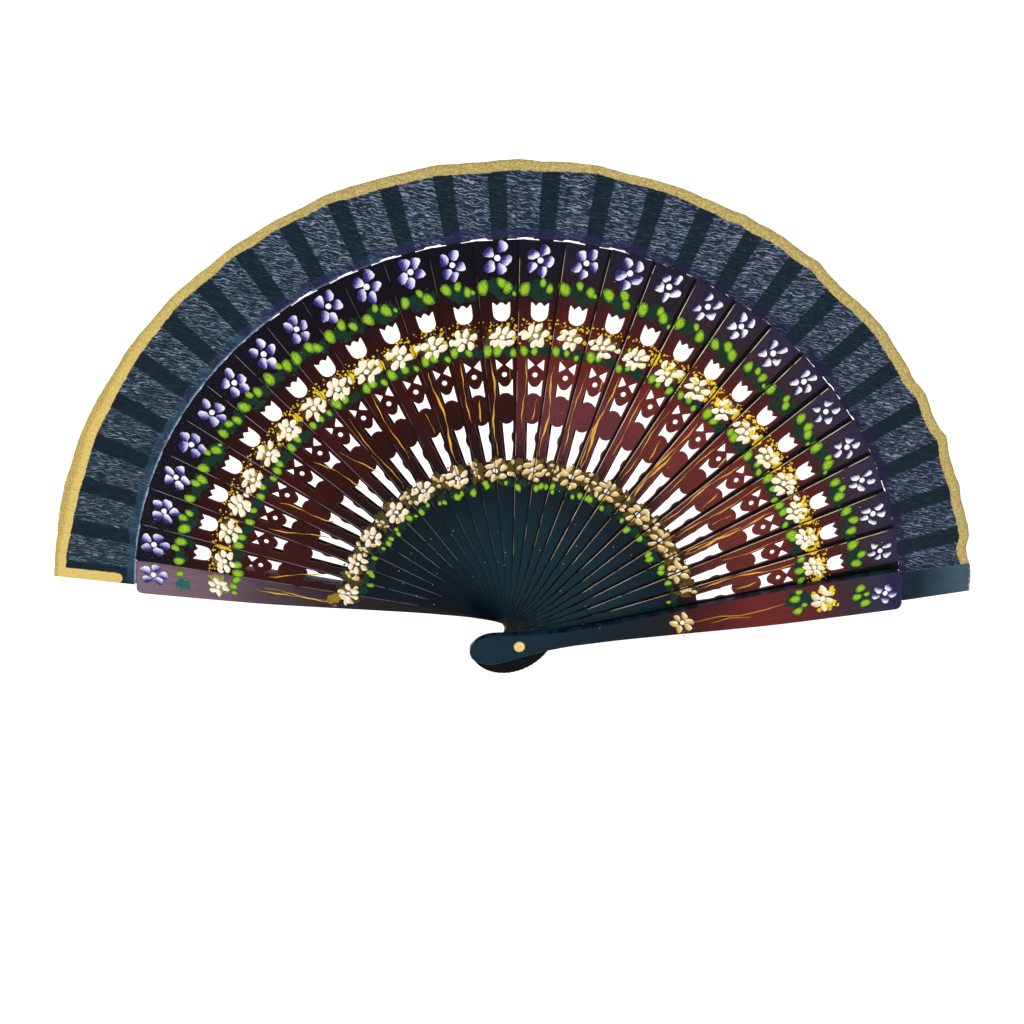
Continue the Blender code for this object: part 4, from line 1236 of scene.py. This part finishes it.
    # the front corner of each stick's left edge as a pale line: up to stick 8 a grey-lilac painted highlight where the
    # edge catches the light, from stick 14 on a beige line where the corner is worn, greyer and thinner between
    tint = rgb("#8b8492") if k < 9 else rgb("#6a6268") if k < 14 else rgb("#a8987c") if k < 17 else rgb("#d9c9a6")
    strong = {1: 0.30, 2: 0.32, 3: 0.34, 4: 0.36, 5: 0.36, 6: 0.34, 7: 0.30, 8: 0.26}.get(k, 0.20 if k < 14 else 0.30 if k < 18 else 0.42)
    r0 = 34.0 + rnd.uniform(0, 12)
    while r0 < 172.0:
        span_r = rnd.uniform(14.0, 46.0) if k > 16 or k < 9 else rnd.uniform(5.0, 20.0)
        r1 = min(174.4, r0 + span_r)
        n = 8
        edge = [(-(2.55 + 0.0486 * r) + 0.10 + strong * 0.5, r) for r in [r0 + (r1 - r0) * i / n for i in range(n + 1)]]
        near = 0.28 + 0.72 * min(1.0, r0 / 120.0)
        line(k, edge, [0.08] + [strong * near * rnd.uniform(0.6, 1.1) for _ in range(n - 1)] + [0.08], 0.012, tint, tint, rnd)
        r0 = r1 + (rnd.uniform(0.5, 3.0) if k > 16 or k < 9 else rnd.uniform(2.0, 14.0))
    # a pale pinkish painted highlight round each piercing, where its cut edge catches the light, lighter on the
    # right-hand sticks
    rim = rgb("#5c3432") if k < 9 else rgb("#6e3f3b") if k < 14 else rgb("#8a524a")
    for hole in stick_loops(k)[2:]:
        n = len(hole)
        area = sum(hole[i][0] * hole[(i + 1) % n][1] - hole[(i + 1) % n][0] * hole[i][1] for i in range(n))
        out = 1.0 if area > 0 else -1.0
        edge = []
        for i in range(n + 1):
            a, b, c = hole[(i - 1) % n], hole[i % n], hole[(i + 1) % n]
            dx, dy = c[0] - a[0], c[1] - a[1]
            size = math.hypot(dx, dy) or 1.0
            edge.append((b[0] + out * dy / size * 0.22, b[1] - out * dx / size * 0.22))
        line(k, edge, [0.17] * len(edge), 0.010, rim, rim, rnd)
    # stray flecks
    for _ in range(5):
        r0 = rnd.uniform(30.0, 172.0)
        s = rnd.uniform(0.18, 0.42)
        if not (82.0 < r0 < 101.5 or 111.0 < r0 < 128.0 or 143.0 < r0 < 152.0):
            dab(k, rnd.uniform(-(1.8 + 0.0486 * r0), 0.045 * r0 - 1.0), r0, s, s, 0.0, 0.05, plain_shade(CREAM_LO, CREAM, CREAM, 0.0, rnd), rnd, n=6, whole=False)

# front guard
rnd = random.Random(77)
smudge(FRONT, -2.6, 128.0, 10.0, 11.5, FOREST, rnd, 0.05, whole=True)
smudge(FRONT, 1.5, 141.0, 6.0, 6.4, rgb("#a8901e"), rnd, 0.05, whole=True)
smudge(FRONT, -2.0, 141.0, 12.0, 9.0, rgb("#3c2c10"), rnd, 0.03, whole=True)
cream_flower(FRONT, -1.6, 139.0, rnd, size=1.12, petals=6, whole=True, warm=0.35)
for du, dr in ((2.6, 4.2), (-5.4, 5.6), (4.0, -0.6), (-4.9, -3.0), (0.8, 6.0)):
    dab(FRONT, du, 138.0 + dr, 2.3, 1.9, 0.7, 0.14, plain_shade(OCHRE, YELLOW, YELLOW, 1.5, rnd), rnd, n=12, whole=True)
for u, r, s in ((-3.4, 126.4, 1.05), (2.9, 127.6, 0.95), (-6.6, 128.2, 0.7), (0.2, 130.6, 0.6)):
    leaf_dab(FRONT, u, r, s, rnd, whole=True)
smudge(FRONT, 0.4, 157.2, 11.0, 7.0, FOREST, rnd, 0.05, whole=True)
for u, r, s in ((-3.9, 156.4, 0.95), (0.2, 154.9, 0.9), (3.8, 158.7, 1.0), (-0.6, 159.3, 0.6)):
    leaf_dab(FRONT, u, r, s, rnd, whole=True)
violet(FRONT, 0.4, 167.9, rnd, size=0.92, whole=True, white=-0.05, dist=0.88)
smudge(FRONT, -5.0, 171.6, 7.0, 7.6, rgb("#1b1940"), rnd, 0.03, whole=True)
smudge(FRONT, 3.0, 173.0, 8.0, 4.6, rgb("#1d1a3e"), rnd, 0.03, whole=True)
for _ in range(14):
    dab(FRONT, -1.0 + rnd.uniform(-6.0, 6.0), 141.0 + rnd.uniform(-4.5, 5.5), rnd.uniform(1.2, 2.6), rnd.uniform(1.0, 1.9), rnd.uniform(-1.5, 1.5), 0.14, plain_shade(OCHRE, YELLOW, rgb("#ffe25a"), 1.5, rnd), rnd, n=12, whole=True)
for path in ([(-2.0, 122.0), (-0.2, 112.0), (0.8, 101.0), (-0.4, 92.0), (0.7, 80.0)], [(2.4, 106.0), (1.2, 96.0), (2.4, 88.0)]):
    line(FRONT, path, [0.2] + [0.55] * (len(path) - 2) + [0.2], 0.10, GOLD_LO, GOLD, rnd)
smudge(FRONT, 0.2, 75.0, 10.0, 9.0, rgb("#4a3414"), rnd, 0.03, whole=True)
cream_flower(FRONT, 0.0, 74.5, rnd, size=1.0, petals=6, whole=True, warm=1.0)

# rear guard
rnd = random.Random(78)
j = lambda s: rnd.uniform(-s, s)
violet(0, 0.6, 168.2, rnd, size=0.92, whole=True, white=0.1, dist=0.9)
smudge(0, -2.6, 154.8, 6.5, 5.5, rgb("#1d5a54"), rnd, 0.05, whole=True)
leaf_dab(0, 2.6, 156.4, 0.8, rnd, whole=True)
smudge(0, -0.5, 139.0, 9.0, 8.5, rgb("#8b8348"), rnd, 0.04, whole=True)
cream_flower(0, -2.0, 139.0, rnd, size=0.88, petals=6, whole=True)
for u, r, s in ((-1.0, 132.2, 0.8), (2.6, 131.0, 0.9), (-4.2, 131.6, 0.6)):
    leaf_dab(0, u, r, s, rnd, whole=True)
vine(0, -1.4, -4.2, 122.0, 86.0, 0.8, rnd, wave=0.5)
vine(0, -0.2, -3.0, 118.0, 88.0, 0.6, rnd, wave=0.7)
smudge(0, -1.5, 85.5, 6.5, 6.5, rgb("#8a6d1e"), rnd, 0.05, whole=True)
cream_flower(0, -0.6, 79.5, rnd, size=0.72, petals=5, whole=True, warm=0.6)

# ------------------------------------------------------------------ finish the painted layers
for k in range(FRONT + 1):
    name = "rear_guard_painting" if k == 0 else "front_guard_painting" if k == FRONT else f"stick_{k:02d}_painting"
    brushes[k].finish(name, BODY[k])


# ------------------------------------------------------------------ frayed threads along the rim
def thread(k, a, length, lean, rnd):
    """Points of one loose thread standing off the rim of member k's cloth."""
    phi = k * PITCH + a
    r = outer_edge(phi) - 0.6
    pts = []
    curl = rnd.uniform(-0.8, 0.8)
    u0, out = r * math.sin(math.radians(a)), math.radians(lean)
    for i in range(9):
        t = i / 8
        bend = out + 0.7 * curl * t
        pts.append(at(k, u0 + length * t * math.sin(bend), r * math.cos(math.radians(a)) + length * t * math.cos(bend), -0.175 - 0.3 * t + 0.1 * math.sin(6 * t + curl)))
    return pts


def tube(points, radius, n=5):
    verts, faces = [], []
    for i, p in enumerate(points):
        d = (points[min(i + 1, len(points) - 1)] - points[max(0, i - 1)]).normalized()
        side = d.cross(Vector((0, 1, 0))).normalized()
        top = side.cross(d)
        w = radius * (1.0 if i < len(points) - 2 else 0.6)
        for q in range(n):
            t = 2 * math.pi * q / n
            verts.append(p + side * w * math.cos(t) + top * w * math.sin(t))
    for i in range(len(points) - 1):
        for q in range(n):
            faces.append((i * n + q, i * n + (q + 1) % n, (i + 1) * n + (q + 1) % n, (i + 1) * n + q))
    faces.append(tuple(range(n))[::-1])
    faces.append(tuple((len(points) - 1) * n + q for q in range(n)))
    return verts, faces


fray = {}
rnd = random.Random(9)
for k, a in [(12, 0.4), (12, -0.6), (12, 1.2), (13, -0.9), (13, 0.6), (14, 0.2), (14, 0.7), (15, -0.5), (15, 0.9), (18, 0.5), (20, -0.4), (20, 0.8), (22, 0.2), (8, 0.3), (5, -0.4)]:
    verts, faces = tube(thread(k, a, rnd.uniform(1.6, 3.4), rnd.choice((-1, 1)) * rnd.uniform(25, 75), rnd), 0.06 * MM)
    vs, fs = fray.setdefault(k, ([], []))
    n = len(vs)
    vs.extend(verts)
    fs.extend(tuple(i + n for i in f) for f in faces)
for k, (vs, fs) in fray.items():
    me = bpy.data.meshes.new(f"frayed_threads_{k:02d}")
    me.from_pydata(vs, [], fs)
    for p in me.polygons:
        p.use_smooth = True
    me.materials.append(THREAD)
    ob = link_object(f"frayed_threads_{k:02d}", me)
    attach(ob, BODY[k])


# ------------------------------------------------------------------ floor and lights
def floor():
    """A pale sweep: floor in front, curving up behind."""
    level = -0.118
    profile = [(-2.6, level), (1.2, level)]
    profile += [(1.2 + 0.9 * math.sin(t), level + 0.9 * (1 - math.cos(t))) for t in [math.pi / 2 * i / 14 for i in range(1, 15)]]
    profile += [(2.1, 3.2)]
    verts, faces = [], []
    for x in (-4.0, 4.0):
        verts += [(x, y, z) for y, z in profile]
    n = len(profile)
    for i in range(n - 1):
        faces.append((i, i + 1, n + i + 1, n + i))
    me = bpy.data.meshes.new("studio_floor")
    me.from_pydata(verts, [], faces)
    for p in me.polygons:
        p.use_smooth = True
    m = Nodes("studio_paper", 0.9, 0.0, 0.1)
    where = m.node("ShaderNodeTexCoord").outputs["Object"]
    m.colour(m.mix(m.noise(where, 3.0, 2.0), rgb("#fbfbfb"), rgb("#ffffff")))
    me.materials.append(m.mat)
    ob = link_object("studio_floor", me)
    ob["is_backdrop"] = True


floor()

world = bpy.data.worlds.new("studio")
world.use_nodes = True
world.node_tree.nodes["Background"].inputs[0].default_value = (1.0, 1.0, 1.0, 1.0)
world.node_tree.nodes["Background"].inputs[1].default_value = 0.95
scene.world = world


def area_light(name, where, target, size, power, colour=(1.0, 1.0, 1.0)):
    data = bpy.data.lights.new(name, "AREA")
    data.shape = "RECTANGLE"
    data.size, data.size_y = size
    data.energy = power
    data.color = colour
    ob = bpy.data.objects.new(name, data)
    scene.collection.objects.link(ob)
    ob.location = where
    ob.rotation_euler = (Vector(target) - Vector(where)).to_track_quat("-Z", "Y").to_euler()
    return ob


area_light("key_light", (-0.9, -1.3, 1.5), (0.0, 0.0, 0.05), (1.4, 1.4), 9.0, (1.0, 0.99, 0.97))
area_light("fill_light", (1.2, -1.1, 0.8), (0.05, 0.0, 0.08), (1.2, 1.2), 5.0, (0.97, 0.98, 1.0))
area_light("back_light", (0.2, 1.2, 1.9), (0.0, 0.6, 0.0), (2.4, 1.2), 18.0)

lo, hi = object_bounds()
{"cad": [[round(x, 6) for x in c] for c in CAD_BOX], "visual": [[round(x, 6) for x in c] for c in (lo, hi)]}
